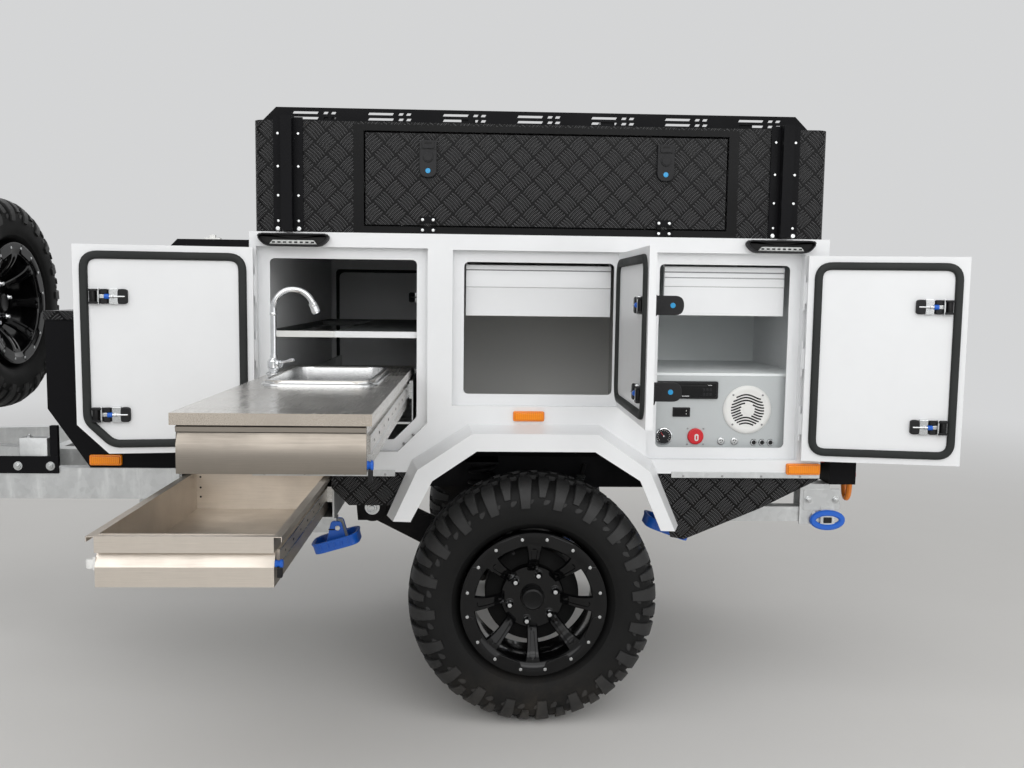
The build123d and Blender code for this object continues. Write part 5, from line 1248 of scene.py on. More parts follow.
def makeTap(s=benchSize):
    # a straight pipe that runs into an arc from 180 down to bendEnd degrees, then a faceted nozzle
    piece = Piece("tap", "bench")
    x, y, z = s["tapX"], s["tapY"], s["top"] + 0.3
    foot = (x, y, z)
    piece.add(chrome, lathe([(0, 0), (21, 0), (21, 3), (18, 5), (14.5, 7), (14, 16), (16.5, 18), (17, 26), (17, 34),
                             (14, 38), (11, 41), (9.4, 43), (9.4, 50), (0, 50)], foot, (0, 0, 1), 48))
    a = np.radians(np.linspace(180, s["bendEnd"], 40))
    arc = np.stack([x + s["bendRadius"] * (1 + np.cos(a)), np.full(40, y), s["bendZ"] + s["bendRadius"] * np.sin(a)], 1)
    rise = np.stack([np.full(6, x), np.full(6, y), np.linspace(z + 42, s["bendZ"] - 8, 6)], 1)
    path = np.concatenate([rise, arc])
    ring = np.arange(20) * 2 * np.pi / 20
    piece.add(chrome, tube(path, 8.0 * np.stack([np.cos(ring), np.sin(ring)], 1), up=(0, 1, 0)),
              lathe([(0, -4), (8.6, -4), (9.3, -2), (9.3, 2), (8.6, 4), (0, 4)], (x, y, s["bendZ"] - 12),
                    (0, 0, 1), 32))
    end = np.radians(s["bendEnd"])
    way = (np.sin(end), 0, -np.cos(end))
    piece.add(chrome, lathe([(0, -2), (9, -2), (11, 0), (11, 9), (10, 11)], arc[-1], way, 32),
              disc(11.2, 11, 26, arc[-1], way, 8, 1.0), lathe([(0, 24), (9, 24), (9, 29), (6, 29.5), (5, 26), (0, 26)],
                                                              arc[-1], way, 24))
    side = (x, y, z + 27)
    piece.add(chrome, disc(12.5, 10, 23, side, (0.86, -0.5, 0), 28, 3.0),
              lathe([(0, 20), (4.2, 20), (3.6, 30), (3.8, 44), (5.6, 56), (5.2, 66), (0, 69)], side,
                    (0.84, -0.42, 0.2), 18))
    piece.make(replaces=["tap"], slot="chrome")


def rings(stack):
    # outlines with their heights, each given as points across a flat and a height
    return np.stack([np.column_stack([line, np.full(len(line), height)]) for line, height in stack]), False, True


def makeSink(s=benchSize):
    # one closed shell: bowl floor, wall, rolled rim with two steps, and the same again underneath
    piece = Piece("sinkBowl", "bench")

    def ring(grow, height, radius):
        return rect(s["sinkWide"] + 2 * grow, s["sinkLong"] + 2 * grow, radius, s["sinkX"], s["sinkY"], 9), height

    def middle(height):
        line = ring(0, 0, 60)[0]
        return np.broadcast_to(line.mean(0), line.shape), height

    floor, top = s["bowlFloor"], s["top"]
    piece.add(steelBright, rings([
        middle(floor + 1.0), ring(-70, floor + 1.6, 40), ring(-32, floor + 3.5, 44), ring(-21, floor + 9, 44),
        ring(-14.5, floor + 24, 44), ring(-12.8, top - 30, 46), ring(-12.6, top + 9, 46), ring(-11.6, top + 13.6, 48),
        ring(-9, top + 15.6, 50), ring(-4.5, top + 15.8, 54), ring(-1.6, top + 14.6, 57), ring(0.4, top + 11.6, 59),
        ring(0.8, top + 7.6, 59), ring(2.6, top + 6.4, 61), ring(4.6, top + 5.6, 63), ring(6.0, top + 3.4, 64),
        ring(6.2, top + 0.2, 64), ring(-10.8, top + 0.2, 48), ring(-11.4, floor + 24, 46),
        ring(-20, floor + 1.0, 44), middle(floor - 0.6)]))
    piece.add(zincPlate, lathe([(0, 0), (22, 0), (22, 1.6), (19, 2.4), (16, 1.6), (14, -0.6), (0, -0.6)],
                               (s["sinkX"], s["sinkY"], floor + 1.4), (0, 0, 1), 40))
    holes = circlePoints(8.5, np.arange(6) * 60, floor + 0.9) + [s["sinkX"], s["sinkY"], 0]
    piece.add(darkGap, around(disc(2.6, 0, 0.9, (0, 0, 0), (0, 0, 1), 12, 0.1), holes))
    piece.make(slot="stainless")


def prism(profile, start, end, up=(0, 0, 1)):
    # a profile carried straight from start to end; it is measured from those points
    return tube(np.linspace(start, end, 3), profile, up=up)


def slideKnob(piece, x, y, z, way, reach=1.0):
    # blue lever of a locking slide, on its black pawl; reach scales how far it stands off
    line = [(0, -1), (7.5, -1), (8.5, 0), (8.5, 4), (7.0, 5.5), (7.0, 9), (9.5, 10.5), (9.5, 15), (8, 17), (0, 17)]
    piece.add(bluePlastic, lathe([(r, reach * h) for r, h in line], (x, y, z), (way, 0, 0), 10))
    side = facing((x + way * 4 * reach, y, z), "x", way)
    piece.add(blackPlastic, slab(rect(14, 26, 4, y=-19), side, 0, 11 * reach, 2 * reach),
              disc(4.5, -28, -8, (x + way * 9 * reach, y - 2, z), (0, 0, 1), 14, 1.5))


def slideFace(piece, x, y0, y1, z, way):
    # a slide's moving member: rolled edges and a row of long and short slots
    half = 18.0
    for edge in (-1, 1):
        piece.add(zincPlate, prism([(-2.5, -1), (-2.5, 0.15), (-1.6, 0.24), (1.6, 0.24), (2.5, 0.15), (2.5, -1)],
                                   (x, y0, z + edge * (half - 2.6)), (x, y1, z + edge * (half - 2.6)), up=(way, 0, 0)))
    count = int((y1 - y0) / 95)
    for k, y in enumerate(np.linspace(y0 + 60, y1 - 60, count)):
        piece.add(darkGap, slab(rect(16 if k % 2 else 8, 5, 2.4), facing((x, y, z), "x", way),
                                -0.4, 0.24, 0.08))


def makeBenchFront(s=benchSize):
    # folded front: recess under the slab, a slanted band and an upright panel
    piece = Piece("benchFront", "bench")
    top, low = s["top"] - 22.0, s["low"]
    profile = [(-0.4, 0), (0.3, 0), (0.3, -2.2), (7.8, -2.6), (8.6, -3.4), (8.6, -11.6), (7.8, -12.4), (0.4, -12.8),
               (0.4, -14.6), (7.4, -33), (8.4, -35), (8.4, low - top + 1.5), (7.4, low - top), (-0.4, low - top)]
    piece.add(warmSteel, prism(profile, (s["bodyX0"] - 1.5, s["bodyFront"], top),
                               (s["bodyX1"] + 1.5, s["bodyFront"], top)))
    # near black strips in the two grooves: painted shade
    for z in (-2.1, -14.4):
        piece.add(darkGap, prism([(0.3, z), (1.0, z), (1.0, z + 1.8), (0.3, z + 1.8)],
                                 (s["bodyX0"], s["bodyFront"], top),
                                 (s["bodyX1"], s["bodyFront"], top)))
    for x, way in ((s["bodyX0"] - 5, -1), (s["bodyX1"] + 5, 1)):
        slideFace(piece, x, s["front"] + 42, s["front"] + 1040, s["slideZ"], way)
    # under the fixed rail, which it passes when the bench goes in
    slideKnob(piece, s["bodyX1"] - 0.5, s["front"] + 30, s["slideZ"] - 36.5, 1, reach=0.7)
    piece.make(slot="stainless")


drawerSize = {"x0": -1003.0, "x1": -613.0, "front": -1320.0, "top": 716.0, "low": 602.0, "slideZ": 659.0,
              "backWall": 757.8}


def makeDrawerTrim(s=drawerSize):
    piece = Piece("drawerTrim", "floor_drawer")
    for x, way in ((s["x0"] - 5, -1), (s["x1"] + 5, 1)):
        slideFace(piece, x, s["front"] + 44, s["front"] + 640, s["slideZ"], way)
    slideKnob(piece, s["x1"] + 1, s["front"] + 12, s["slideZ"] - 6, 1)
    piece.add(whitePlastic, disc(11, -10, 10, (s["x0"] - 12, s["front"] + 14, s["slideZ"] - 6), (0, 0, 1), 24, 3),
              slab(rect(18, 30, 3, y=-6), facing((s["x0"], s["front"] + 14, s["slideZ"]), "x", -1), 0, 6, 1.5))
    # folded lip inside the front edge and rivets in the back corner
    piece.add(steelFront, prism([(-3, 0), (3, 0), (3, 1.6), (-3, 1.6)], (s["x0"] + 2, s["front"] + 21, s["top"] - 0.8),
                                (s["x1"] - 2, s["front"] + 21, s["top"] - 0.8)))
    for z in (640, 668, 700):
        piece.add(darkGap, disc(3.0, 0, 0.9, (s["x0"] + 14, s["front"] + s["backWall"], z), (0, -1, 0), 14, 0.3))
    piece.make(slot="stainless")


makeTap()
makeSink()
makeBenchFront()
makeDrawerTrim()
print("bench and drawer fittings made")


# Stabiliser legs: blue feet over the pans, bolts, bracket plates and the guide rings of the crank

legTable = {
    # pivot x and z, direction of the stowed leg, length, drop and tilt of its foot
    "rear": (862.0, 596.0, -1, 448.0, 43.0, 20.0),
    "front": (-1087.0, 556.0, 1, 500.0, 52.0, 16.0),
}
footSize = {"y": 545.0, "long": 136.0, "wide": 104.0, "high": 30.0, "tubeHalf": 22.5}


def makeLegTrim(name, hand, word, s=footSize):
    pivotX, pivotZ, run, length, drop, tilt = legTable[name]
    end, y = pivotX + run * length, hand * s["y"]
    foot = Piece("foot_" + name + "_" + word, "leg_" + name + "_" + word)
    a = np.radians(-run * tilt)
    ex, ez = (np.cos(a), 0, -np.sin(a)), (np.sin(a), 0, np.cos(a))
    pan = np.array([end, y, pivotZ - drop])

    def ring(grow, height, radius):
        return rect(s["long"] + 2 * grow, s["wide"] + 2 * grow, radius, 0, 0, 7), height

    flat = ring(0, 0, 30)[0]
    middle = np.zeros_like(flat)
    points, _, _ = rings([(middle, -16.4), ring(-2.5, -16.4, 28), ring(0.6, -15.4, 31), ring(1.0, -6, 32),
                          ring(1.7, 6, 34), ring(4.5, 12.5, 38), ring(5.0, 15.5, 38), ring(3.5, 17.0, 37),
                          ring(-3.2, 16.0, 32), ring(-5.2, 9, 31), ring(-5.4, -8, 31), ring(-10, -10.2, 27),
                          (middle, -10.4)])
    placed = (pan + points[..., :1] * np.array(ex) + points[..., 1:2] * np.array([0, 1, 0])
              + points[..., 2:] * np.array(ez))
    foot.add(bluePlastic, (placed, False, True))
    for edge in (-1, 1):
        frame = (pan + np.array([0, edge * (s["wide"] / 2 + 1.0), 0]) + 2.0 * np.array(ez), ex, ez, (0, edge, 0))
        for u in (-42, -21, 0, 21, 42):
            foot.add(bluePlastic, slab(rounded([(u - 2.2, -10), (u + 2.2, -10), (u + 2.2, 11), (u - 2.2, 11)], 1.5, 3),
                                       frame, -1.5, 3.4, 1.2))
        near = y + edge * (s["tubeHalf"] - 0.2)
        rise = run * np.tan(np.radians(tilt)) * 34
        low = pivotZ - drop - 13
        ear = rounded([(end - 34, low - rise), (end + 34, low + rise), (end + 15, pivotZ + 13),
                       (end - 15, pivotZ + 13)], [3, 3, 9, 9], 5)
        face = facing((0, near, 0), "y", edge)
        foot.add(bluePlastic, slab(ear, face, 0, 5.6, 1.4))
        foot.add(whitePlastic, disc(7.5, 5, 10.5, (end + 5, near, pivotZ - 7), (0, edge, 0), 24, 2.5))
        foot.add(darkGap, slab(rect(19, 4, 1.8, x=end - 13, y=pivotZ - 12), face, 5.0, 6.1, 0.2))
    foot.make()
    fixed = Piece("legTrim_" + name + "_" + word, "trailer")
    outer = facing((pivotX - run * 22, hand * (s["y"] + s["tubeHalf"] + 6.5), pivotZ + 46), "y", hand)
    fixed.add(galvanised, slab(rect(114, 66, 6), outer, -3.0, 1.2, 0.8))
    for dx in (-42, 42):
        spot = (outer[0][0] + dx, outer[0][1], outer[0][2])
        fixed.add(zincPlate, disc(11, 1, 3, spot, (0, hand, 0), 28, 0.6),
                  disc(8.6, 2.6, 9.5, spot, (0, hand, 0), 6, 1.5),
                  disc(4.8, 9, 13, spot, (0, hand, 0), 16, 1.0))
    guide = np.array([pivotX - run * 40, outer[0][1] + hand * 7.0, pivotZ - 16])
    t = np.arange(48) * 2 * np.pi / 48
    oval = np.stack([45 * np.cos(t), 22 * np.sin(t)], 1)
    fixed.add(bluePlastic, ribbon(oval, guide, (1, 0, 0), (0, 0, 1), (0, hand, 0),
                                  [(-9, -4), (-9, 1), (-5, 5), (5, 5), (9, 1), (9, -4)]))
    fixed.add(galvanised, slab(rect(44, 34, 4), facing(guide, "y", hand), -7.0, 1.5, 0.8),
              slab(rect(40, 44, 4, y=18), facing(guide, "y", hand), -7.0, -4.2, 0.5))
    fixed.add(darkGap, slab(rect(26, 18, 3), facing(guide, "y", hand), 1.0, 1.9, 0.2))
    fixed.make()


for legName in legTable:
    makeLegTrim(legName, -1, "left")
    makeLegTrim(legName, 1, "right")
print("feet and leg brackets made")


# Body trim: sill strips, post bolts, the front brackets on the deck and the catches of the wings

trimSize = {"side": 670.0, "sill": [(-811.0, -402.0), (400.0, 838.0)], "sillLow": 726.0, "sillHigh": 744.5,
            "postX": (-700.0, 700.0), "postSide": 671.0, "postZ": 1428.0, "rail": 630.0,
            "plateX": (-1560.0, -1372.0), "plateZ": (722.0, 772.0), "plateBolts": (-1486.0, -1394.0),
            "boxX": (-1486.0, -1405.0), "boxZ": (738.3, 824.0), "boxInset": 22.0, "uprightX": -1384.0,
            "uprightY": 620.4, "uprightZ": (742.0, 861.0),
            "catchX": -914.0, "catchZ": 1396.2, "wing": 664.0}


def hexBolt(piece, spot, way, radius, high):
    # washer, head and the end of the thread
    piece.add(zincPlate, disc(radius * 1.35, 0, 1.8, spot, way, 28, 0.5),
              disc(radius, 1.6, high, spot, way, 6, 1.3, 15),
              disc(radius * 0.5, high - 0.5, high + 2.4, spot, way, 16, 0.8))


def makeBodyTrim(s=trimSize):
    strips = Piece("sillStrips", "trailer")
    front = Piece("deckBrackets", "trailer")
    for hand in (-1, 1):
        face = facing((0, hand * s["side"], 0), "y", hand)
        for x0, x1 in s["sill"]:
            strips.add(galvanised, slab(rect(x1 - x0, s["sillHigh"] - s["sillLow"], 2, (x0 + x1) / 2,
                                             (s["sillLow"] + s["sillHigh"]) / 2), face, 0.2, 2.2, 0.8))
            for x in np.arange(x0 + 35, x1 - 20, 115):
                strips.add(screwSteel, disc(3.6, 1.8, 3.8, (x, hand * s["side"], s["sillLow"] + 6),
                                            (0, hand, 0), 14, 0.9))
        for x in s["postX"]:
            for dx in (-29, 29):
                strips.add(zincPlate, disc(7.0, 0.2, 5.4, (x + dx, hand * s["postSide"], s["postZ"]),
                                           (0, hand, 0), 20, 2.2))
        rail = facing((0, hand * s["rail"], 0), "y", hand)
        (x0, x1), (z0, z1) = s["plateX"], s["plateZ"]
        front.add(blackPaint, slab(rect(x1 - x0, z1 - z0, 3, (x0 + x1) / 2, (z0 + z1) / 2), rail, 0.3, 6.0, 1.2))
        for x in s["plateBolts"]:
            hexBolt(front, (x, hand * (s["rail"] + 5.8), (z0 + z1) / 2 - 3), (0, hand, 0), 9.5, 8.0)
        (x0, x1), (z0, z1) = s["boxX"], s["boxZ"]
        flat = facing(((x0 + x1) / 2, hand * (s["rail"] - s["boxInset"]), z0), "z")
        front.add(galvanised, slab(rect(x1 - x0, 40, 4), flat, 0.0, z1 - z0, 2.5),
                  slab(rect(x1 - x0 + 40, 42, 3, x=-8), flat, -0.1, 5.0, 1.0))
        hexBolt(front, (x0 + 22, hand * (s["rail"] - s["boxInset"]), z1 - 0.3), (0, 0, 1), 7.0, 6.0)
        z0, z1 = s["uprightZ"]
        beside = facing((s["uprightX"], hand * s["uprightY"], (z0 + z1) / 2), "y", hand)
        front.add(blackPaint, slab(rect(22, z1 - z0, 2), beside, 0.0, 14.0, 1.5))
        wing = (s["catchX"], hand * s["wing"], s["catchZ"]), (1, 0, 0), (0, hand, 0), (0, 0, 1)
        front.add(whitePlastic, slab(rect(46, 15, 3, y=-5), wing, 0.0, 4.0, 1.2),
                  slab(rect(17, 11, 2, y=-5), wing, 3.5, 13.0, 2.0))
        front.add(screwSteel, disc(2.8, 3.5, 5.4, (s["catchX"] + 17, hand * (s["wing"] - 5), s["catchZ"]),
                                   (0, 0, 1), 14, 0.6))
    strips.make(slot="galvanised")
    front.make(slot="black_plastic")


makeBodyTrim()
print("body trim made")


# Kitchen and drawers inside: the shelf's white lip that lets the tap through, rivets, folded drawer fronts

insideSize = {"lipX": (-768.0, -579.0), "lipZ": (1123.0, 1141.0), "lipY": -628.0,
              "rivets": [(-378.3, 819.0), (-352.0, 845.0)], "rivetY": 651.0}


def foldedFront(name):
    # the face's section, out and up, carried along x: lip, groove, rolled band, crease, flat
    low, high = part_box(name + "_drawer")
    x0, x1 = (low.x - axleX) * mmPerMetre, (high.x - axleX) * mmPerMetre
    front, z0, z1 = low.y * mmPerMetre, (low.z - groundZ) * mmPerMetre, (high.z - groundZ) * mmPerMetre
    h = z1 - z0
    if name == "middle":
        section = [(-0.3, 0), (3.4, 0), (4.2, -0.8), (4.2, -12), (3.4, -13), (0.5, -13.4), (0.5, -16.4), (1.6, -22),
                   (3.6, -40), (5.2, -60), (5.0, -62.5), (1.6, -65), (1.2, -67), (1.2, -h + 1), (0.5, -h), (-0.3, -h)]
        lines = [(-16.2, 2.9, 0.6), (-66.4, 1.4, 1.3)]
    else:
        section = [(-0.3, 0), (2.6, 0), (3.4, -0.8), (3.4, -13.4), (2.4, -14.4), (0.5, -14.8), (0.5, -18), (2.2, -19.4),
                   (2.8, -30), (0.9, -31.4), (0.9, -33.4), (2.6, -34.8), (2.8, -56), (1.4, -58), (1.4, -h + 1),
                   (0.5, -h), (-0.3, -h)]
        lines = [(-17.8, 2.8, 0.6), (-33.3, 1.8, 1.0), (-59.0, 1.2, 1.5)]
    face = Piece("drawerFace_" + name, name + "_drawer")
    start, end = (x0 + 0.5, front, z1 - 0.2), (x1 - 0.5, front, z1 - 0.2)
    face.add(white, prism(section, start, end))
    # dark grey strips in the grooves and the crease: painted shade
    for z, high, out in lines:
        face.add(foldShade, prism([(out - 0.3, z), (out, z), (out, z + high), (out - 0.3, z + high)], start, end))
    face.make(sharp=22, slot="white")


def makeInside(s=insideSize):
    (x0, x1), (z0, z1) = s["lipX"], s["lipZ"]
    lip = Piece("shelfLip", "trailer")
    face = facing(((x0 + x1) / 2, s["lipY"], (z0 + z1) / 2), "y", -1)
    lip.add(whitePlastic, slab(rect(x1 - x0, z1 - z0, 1.5), face, -1.5, 1.5, 0.7))
    lip.make()
    rivets = Piece("flangeRivets", "trailer")
    for hand in (-1, 1):
        for x, z in s["rivets"]:
            rivets.add(screwSteel, lathe([(0, -1), (4.2, -1), (4.0, 1.0), (2.6, 2.2), (0, 2.6)],
                                         (x, hand * s["rivetY"], z), (0, hand, 0), 18))
    rivets.make()
    foldedFront("middle")
    foldedFront("rear")


makeInside()
print("inner fittings made")


# Jockey wheel, its stem, and the coupling

jockeySize = {"x": -2250.0, "y": -225.0, "wheelX": -2216.0, "wheelZ": 100.0, "stem": 30.0, "stemLow": 300.0,
              "stemTop": 960.0, "crankZ": 984.0, "reach": 130.0, "gripTop": 1078.0,
              "forkHalf": 44.0, "clampZ": (668.0, 718.0)}


def makeJockey(s=jockeySize):
    wheel = Piece("jockeyTyre", "jockey_wheel")
    hub = (s["wheelX"], s["y"], s["wheelZ"])
    half = [(52, 22), (66, 26.5), (82, 27.5), (93, 25), (98.4, 18.5), (99.4, 14.5), (96, 13.6), (96, 10.8),
            (99.6, 9.8), (99.8, 2.4), (96, 1.5)]
    profile = [(r, -h) for r, h in half] + [(r, h) for r, h in half[::-1]] + [(52, -22)]
    wheel.add(tyreRubber, lathe(profile, hub, (0, 1, 0), 64))
    rim = [(8.6, 26), (16, 26), (17, 13), (38, 8), (45, 19), (50, 23.5), (53.5, 22.5), (53.5, 0)]
    lower, upper = ([(r, way * h) for r, h in rim[-2::-1]] for way in (-1, 1))
    wheel.add(whitePlastic, lathe(lower + [(53.5, 0)] + upper + [(8.6, -26), (16, -26)], hub, (0, 1, 0), 56))
    for way in (-1, 1):
        holes = np.stack([s["wheelX"] + 28 * np.cos(np.arange(6) * np.pi / 3), np.full(6, s["y"] + way * 10.2),
                          s["wheelZ"] + 28 * np.sin(np.arange(6) * np.pi / 3)], 1)
        wheel.add(darkGap, around(disc(5.0, 0, 0.7, (0, 0, 0), (0, way, 0), 16, 0.2), holes))
    wheel.make(replaces=["jockey_wheel"], slot="tyre", sharp=40)
    fork = Piece("forkBolts", "jockey_fork")
    for way in (-1, 1):
        hexBolt(fork, (s["wheelX"], s["y"] + way * s["forkHalf"], s["wheelZ"]), (0, way, 0), 10.0, 8.0)
    fork.make()
    stem = Piece("jockeyTrim", "trailer")
    x, y, r = s["x"], s["y"], s["stem"]
    for z, high in ((s["stemLow"] + 4, 16), (s["stemTop"] - 22, 20), (s["clampZ"][0] - 30, 9),
                    (s["clampZ"][1] + 21, 9)):
        stem.add(galvanised, lathe([(r - 0.5, 0), (r + 3, 0.6), (r + 3.6, 2), (r + 3.6, high - 2), (r + 3, high - 0.6),
                                    (r - 0.5, high), (r - 0.5, 0)], (x, y, z), (0, 0, 1), 44))
    stem.add(blackPlastic, lathe([(0, 0), (r + 1.5, 0), (r + 2.5, 2), (r + 2.5, 8), (r, 12), (20, 15), (0, 15)],
                                 (x, y, s["stemTop"] - 0.5), (0, 0, 1), 44))
    ridges = [(13.6 + 0.9 * (k % 2), h) for k, h in enumerate(np.linspace(6, 86, 33))]
    grip = [(0, 0), (12.5, 0), (14, 3)] + ridges + [(14, 89), (11, 93), (0, 94)]
    stem.add(blackPlastic, lathe(grip, (x + s["reach"], y, s["gripTop"] - 93), (0, 0, 1), 28))
    stem.add(zincPlate, lathe([(7.5, 14), (9.6, 14), (9.6, s["reach"] - 12), (7.5, s["reach"] - 12), (7.5, 14)],
                              (x, y, s["crankZ"]), (1, 0, 0), 20))
    for z in s["clampZ"]:
        for dx in (-33, 33):
            hexBolt(stem, (x + dx, y - 0.2, z), (0, -1, 0), 7.5, 7.0)
    stem.make()


couplingSize = {"x": -2750.0, "z": 640.0, "eye": 40.0, "pin": 17.5, "half": 32.0, "bodyX": -2640.0, "bodySide": 60.0}


def makeCouplingTrim(s=couplingSize):
    # bushes in both mouths of the eye, bolts through the body and a ribbed rubber sleeve
    piece = Piece("couplingTrim", "trailer")
    for way in (-1, 1):
        mouth = (s["x"], 0, s["z"] + way * s["half"])
        piece.add(chrome, lathe([(s["pin"] + 1, -3), (s["pin"] + 1, 2.0), (s["pin"] + 2.5, 3.4), (s["eye"] - 13, 3.4),
                                 (s["eye"] - 11, 2.0), (s["eye"] - 11, -1), (s["pin"] + 1, -3)], mouth,
                                 (0, 0, way), 56))
        low, high = s["eye"] - 9.5, s["eye"] - 3.4
        piece.add(orangePaint, lathe([(low, -1), (low, 1.2), (s["eye"] - 7, 2.2), (high, 1.2), (high, -1), (low, -1)],
                                     mouth, (0, 0, way), 56))
        for dz in (-26, 26):
            hexBolt(piece, (s["bodyX"], way * s["bodySide"], s["z"] + 50 + dz), (0, way, 0), 11.0, 9.0)
    bush = np.linspace(-1, 1, 9)
    piece.add(sealRubber, lathe([(26.2, -26)] + [(26.9 + 0.5 * (k % 2), 26 * b) for k, b in enumerate(bush)]
                                + [(26.2, 26)], (s["x"] + 62, 0, s["z"]), (1, 0, 0), 40))
    piece.make()


armSize = {"x": -486.0, "z": 597.0, "side": 498.4}


def makeArmTrim(s=armSize):
    # pivot bolts on their rounded bosses
    piece = Piece("armTrim", "trailer")
    for hand in (-1, 1):
        spot = (s["x"], hand * s["side"], s["z"])
        piece.add(blackPaint, lathe([(0, -1), (44, -1), (44, 4), (42, 6), (30, 6.5), (0, 6.5)], spot, (0, hand, 0), 44))
        piece.add(zincPlate, disc(23, 6, 8.5, spot, (0, hand, 0), 32, 0.8),
                  disc(16, 8, 19, spot, (0, hand, 0), 6, 2.5, 10),
                  disc(9, 18, 24, spot, (0, hand, 0), 20, 1.5))
    piece.make()


makeJockey()
makeCouplingTrim()
makeArmTrim()
print("jockey wheel, coupling and arm fittings made")


# Front locker's latches and bead, bolts and cap of the spare wheel's carrier

frontSize = {"face": -1404.0, "lidFace": -1407.0, "latchY": (-410.0, 410.0), "latchZ": 1112.0, "catchZ": 1177.0,
             "beadZ": 985.0, "beadWide": 1060.0, "beadHigh": 200.0, "footX": (-2082.0, -1992.0), "footY": 205.0,
             "footZ": 748.2, "postX": -2037.0, "postTop": 1260.2, "handleX": -1090.0, "lidTop": 1190.0}


def makeLockerTrim(s=frontSize):
    fixed, lid = Piece("lockerLatches", "trailer"), Piece("lockerCatches", "locker_lid")
    for y in s["latchY"]:
        face = facing((s["face"], y, s["latchZ"]), "x", -1)
        fixed.add(zincPlate, slab(rect(46, 78, 6), face, 0.2, 3.0, 0.9),
                  slab(rounded([(-15, -34), (15, -34), (17, 24), (-17, 24)], [13, 13, 5, 5], 7), face, 3.2,
                       11.0, 2.6, 0.8))
        for dy in (-17.5, 17.5):
            fixed.add(zincPlate, lathe([(0, 0), (2.6, 0), (2.6, 52), (0, 52)],
                                       (s["face"] - 7, y + dy, s["latchZ"] + 18), (0, 0, 1), 14))
        fixed.add(zincPlate, lathe([(0, -20), (3.4, -20), (3.4, 20), (0, 20)],
                                   (s["face"] - 7, y, s["latchZ"] + 19), (0, 1, 0), 14),
                  lathe([(0, -20), (2.6, -20), (2.6, 20), (0, 20)], (s["face"] - 7, y, s["latchZ"] + 70),
                        (0, 1, 0), 14))
        for dy, dz in ((-18, -32), (18, -32), (-18, 6), (18, 6)):
            fixed.add(screwSteel, disc(2.8, 2.8, 4.6, (s["face"], y + dy, s["latchZ"] + dz), (-1, 0, 0), 12, 0.7))
        catch = facing((s["lidFace"], y, s["catchZ"]), "x", -1)
        lid.add(zincPlate, slab(rect(40, 17, 3), catch, 0.2, 2.2, 0.6),
                slab(rect(24, 4.4, 1.5, y=7), catch, 1.8, 8.2, 1.0))
        for dy in (-15, 15):
            lid.add(screwSteel, disc(2.4, 2.0, 3.4, (s["lidFace"], y + dy, s["catchZ"] - 2), (-1, 0, 0), 12, 0.5))
    bead = facing((s["face"], 0, s["beadZ"]), "x", -1)
    fixed.add(blackPaint, ribbon(rect(s["beadWide"], s["beadHigh"], 34, steps=9), *bead[:3], bead[3],
                                 [(-11, -0.5), (-7, 1.6), (-3, 2.8), (3, 2.8), (7, 1.6), (11, -0.5)]))
    for y in (-250, 250):
        # lifting handles on the lid: a rod bent into a low arch on two rosettes
        line = smoothPath([(s["handleX"], y - 62, s["lidTop"] + 1), (s["handleX"], y - 58, s["lidTop"] + 27),
                           (s["handleX"], y + 58, s["lidTop"] + 27), (s["handleX"], y + 62, s["lidTop"] + 1)], 16)
        lid.add(blackPlastic, tube(line, 5.6, up=(1, 0, 0)))
        for end in (y - 62, y + 62):
            lid.add(blackPlastic, disc(13, 0.2, 3.6, (s["handleX"], end, s["lidTop"]), (0, 0, 1), 28, 1.2))
    fixed.make()
    lid.make()


def makeCarrierTrim(s=frontSize):
    piece = Piece("carrierTrim", "trailer")
    for x in s["footX"]:
        for y in (-s["footY"], s["footY"]):
            hexBolt(piece, (x, y, s["footZ"]), (0, 0, 1), 10.5, 9.0)
    piece.add(blackPlastic, slab(rect(64, 74, 5), facing((s["postX"], 0, s["postTop"]), "z"), 0, 5.5, 2.0, 0.8))
    piece.make()


makeLockerTrim()
makeCarrierTrim()
print("locker and carrier fittings made")


# Rear wall: bare number plate in its frame, its lamp, round reflectors and pressed edge strips

rearSize = {"face": 839.0, "plateZ": 878.0, "lampZ": 952.0, "reflector": (575.0, 892.0), "edgeY": 655.0,
            "edgeLow": 860.0, "edgeHigh": 1374.0}


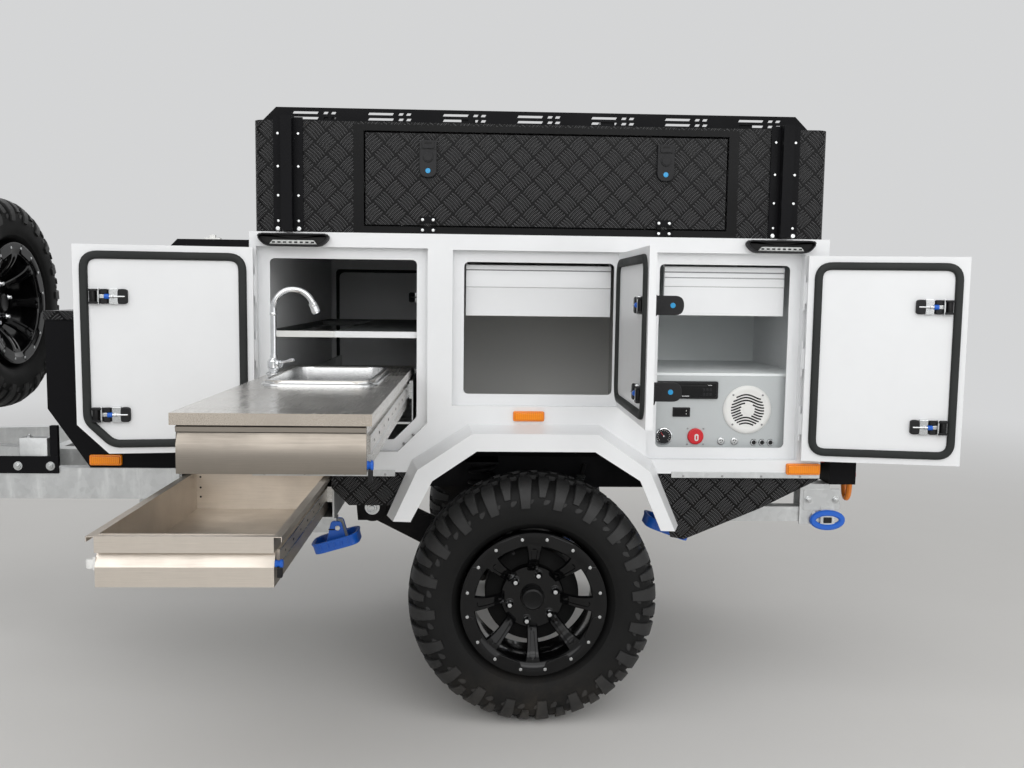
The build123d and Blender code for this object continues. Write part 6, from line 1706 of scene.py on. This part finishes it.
def makeRear(s=rearSize):
    piece = Piece("rearFittings", "trailer")
    plate = facing((s["face"], 0, s["plateZ"]), "x")
    piece.add(blackPlastic, slab(rect(532, 122, 8), plate, 0.2, 5.0, 1.2))
    piece.add(whitePlastic, slab(rect(518, 108, 6), plate, 4.0, 6.4, 0.6))
    for y in (-190, 190):
        piece.add(screwSteel, disc(4.5, 6.0, 7.8, (s["face"], y, s["plateZ"] + 38), (1, 0, 0), 18, 0.8))
    lamp = facing((s["face"], 0, s["lampZ"]), "x")
    piece.add(blackPlastic, slab(rect(104, 30, 7), lamp, 0.2, 30.0, 5.0, 0.8))
    piece.add(ledLens, slab(rect(70, 18, 4), ((s["face"] + 15, 0, s["lampZ"] - 14.6), (0, 1, 0), (1, 0, 0),
                                              (0, 0, -1)), 0, 2.6, 0.8))
    y, z = s["reflector"]
    for hand in (-1, 1):
        spot = (s["face"], hand * y, z)
        piece.add(blackPlastic, disc(33, 0.2, 5.0, spot, (1, 0, 0), 48, 1.2))
        piece.add(redLens, disc(28.5, 4.0, 7.6, spot, (1, 0, 0), 48, 1.6))
        strip = facing((s["face"], hand * s["edgeY"], 0), "x")
        z0, z1 = s["edgeLow"], s["edgeHigh"]
        piece.add(white, slab(rect(26, z1 - z0, 3, 0, (z0 + z1) / 2), strip, 0.2, 2.6, 0.9))
        for at in np.linspace(z0 + 30, z1 - 30, 6):
            piece.add(screwSteel, disc(4.0, 2.4, 4.4, (s["face"], hand * s["edgeY"], at), (1, 0, 0), 16, 1.0))
    piece.make()


makeRear()
print("rear fittings made")


# Finishes of the CAD pieces

nodeFinish = {
    "chassis": frameSteel, "coupling": blackPaint, "leg_brackets": galvanised, "partitions": lining,
    "control_panel": panelGrey, "arch_liners": blackPaint, "roof_box": roofTread, "rack_posts": blackPaint,
    "rack_rails": blackPaint, "rack_bars": blackPaint, "fender_flares": white, "skirts": blackTread,
    "trailing_arms": blackPaint, "spare_carrier": blackPaint, "front_locker": blackPaint,
    "locker_lid": blackTread, "rear_bar": blackPaint, "jockey_stem": galvanised, "jockey_fork": zincPlate,
    "jockey_wheel": tyreRubber, "bench": steelTop, "floor_drawer": steelFront, "middle_drawer": white,
    "rear_drawer": white, "slide_rails": zincPlate, "tap": chrome, "shackles": orangePaint,
    "springs": blackPaint, "work_lamps": blackPlastic, "marker_lamps": amberLens, "tail_lamps": redLens,
    "body_shell": white, "panel_devices": blackPlastic, "speaker": whitePlastic,
}
nodeFinish.update({name: white for name in nodes if name.startswith("door_")})
nodeFinish.update({name: blackPlastic for name in nodes if name.startswith("latches_")})
nodeFinish.update({name: blackTread for name in nodes if name.startswith("hatch_")})
nodeFinish.update({name: galvanised for name in nodes if name.startswith("leg_") and name != "leg_brackets"})
nodeFinish.update({name: tyreRubber for name in nodes if name.endswith("tyre") or name.startswith("tyre")})
nodeFinish.update({name: rimBlack for name in nodes if name.endswith("rim") or name.startswith("rim")})


def dress(node, finish):
    if not node.material_slots:
        node.data.materials.append(finish.material)
    for slot in node.material_slots:
        slot.material = finish.material


for name, finish in nodeFinish.items():
    dress(nodes[name], finish)
print("CAD pieces dressed:", len(nodeFinish), "of", len(nodes))
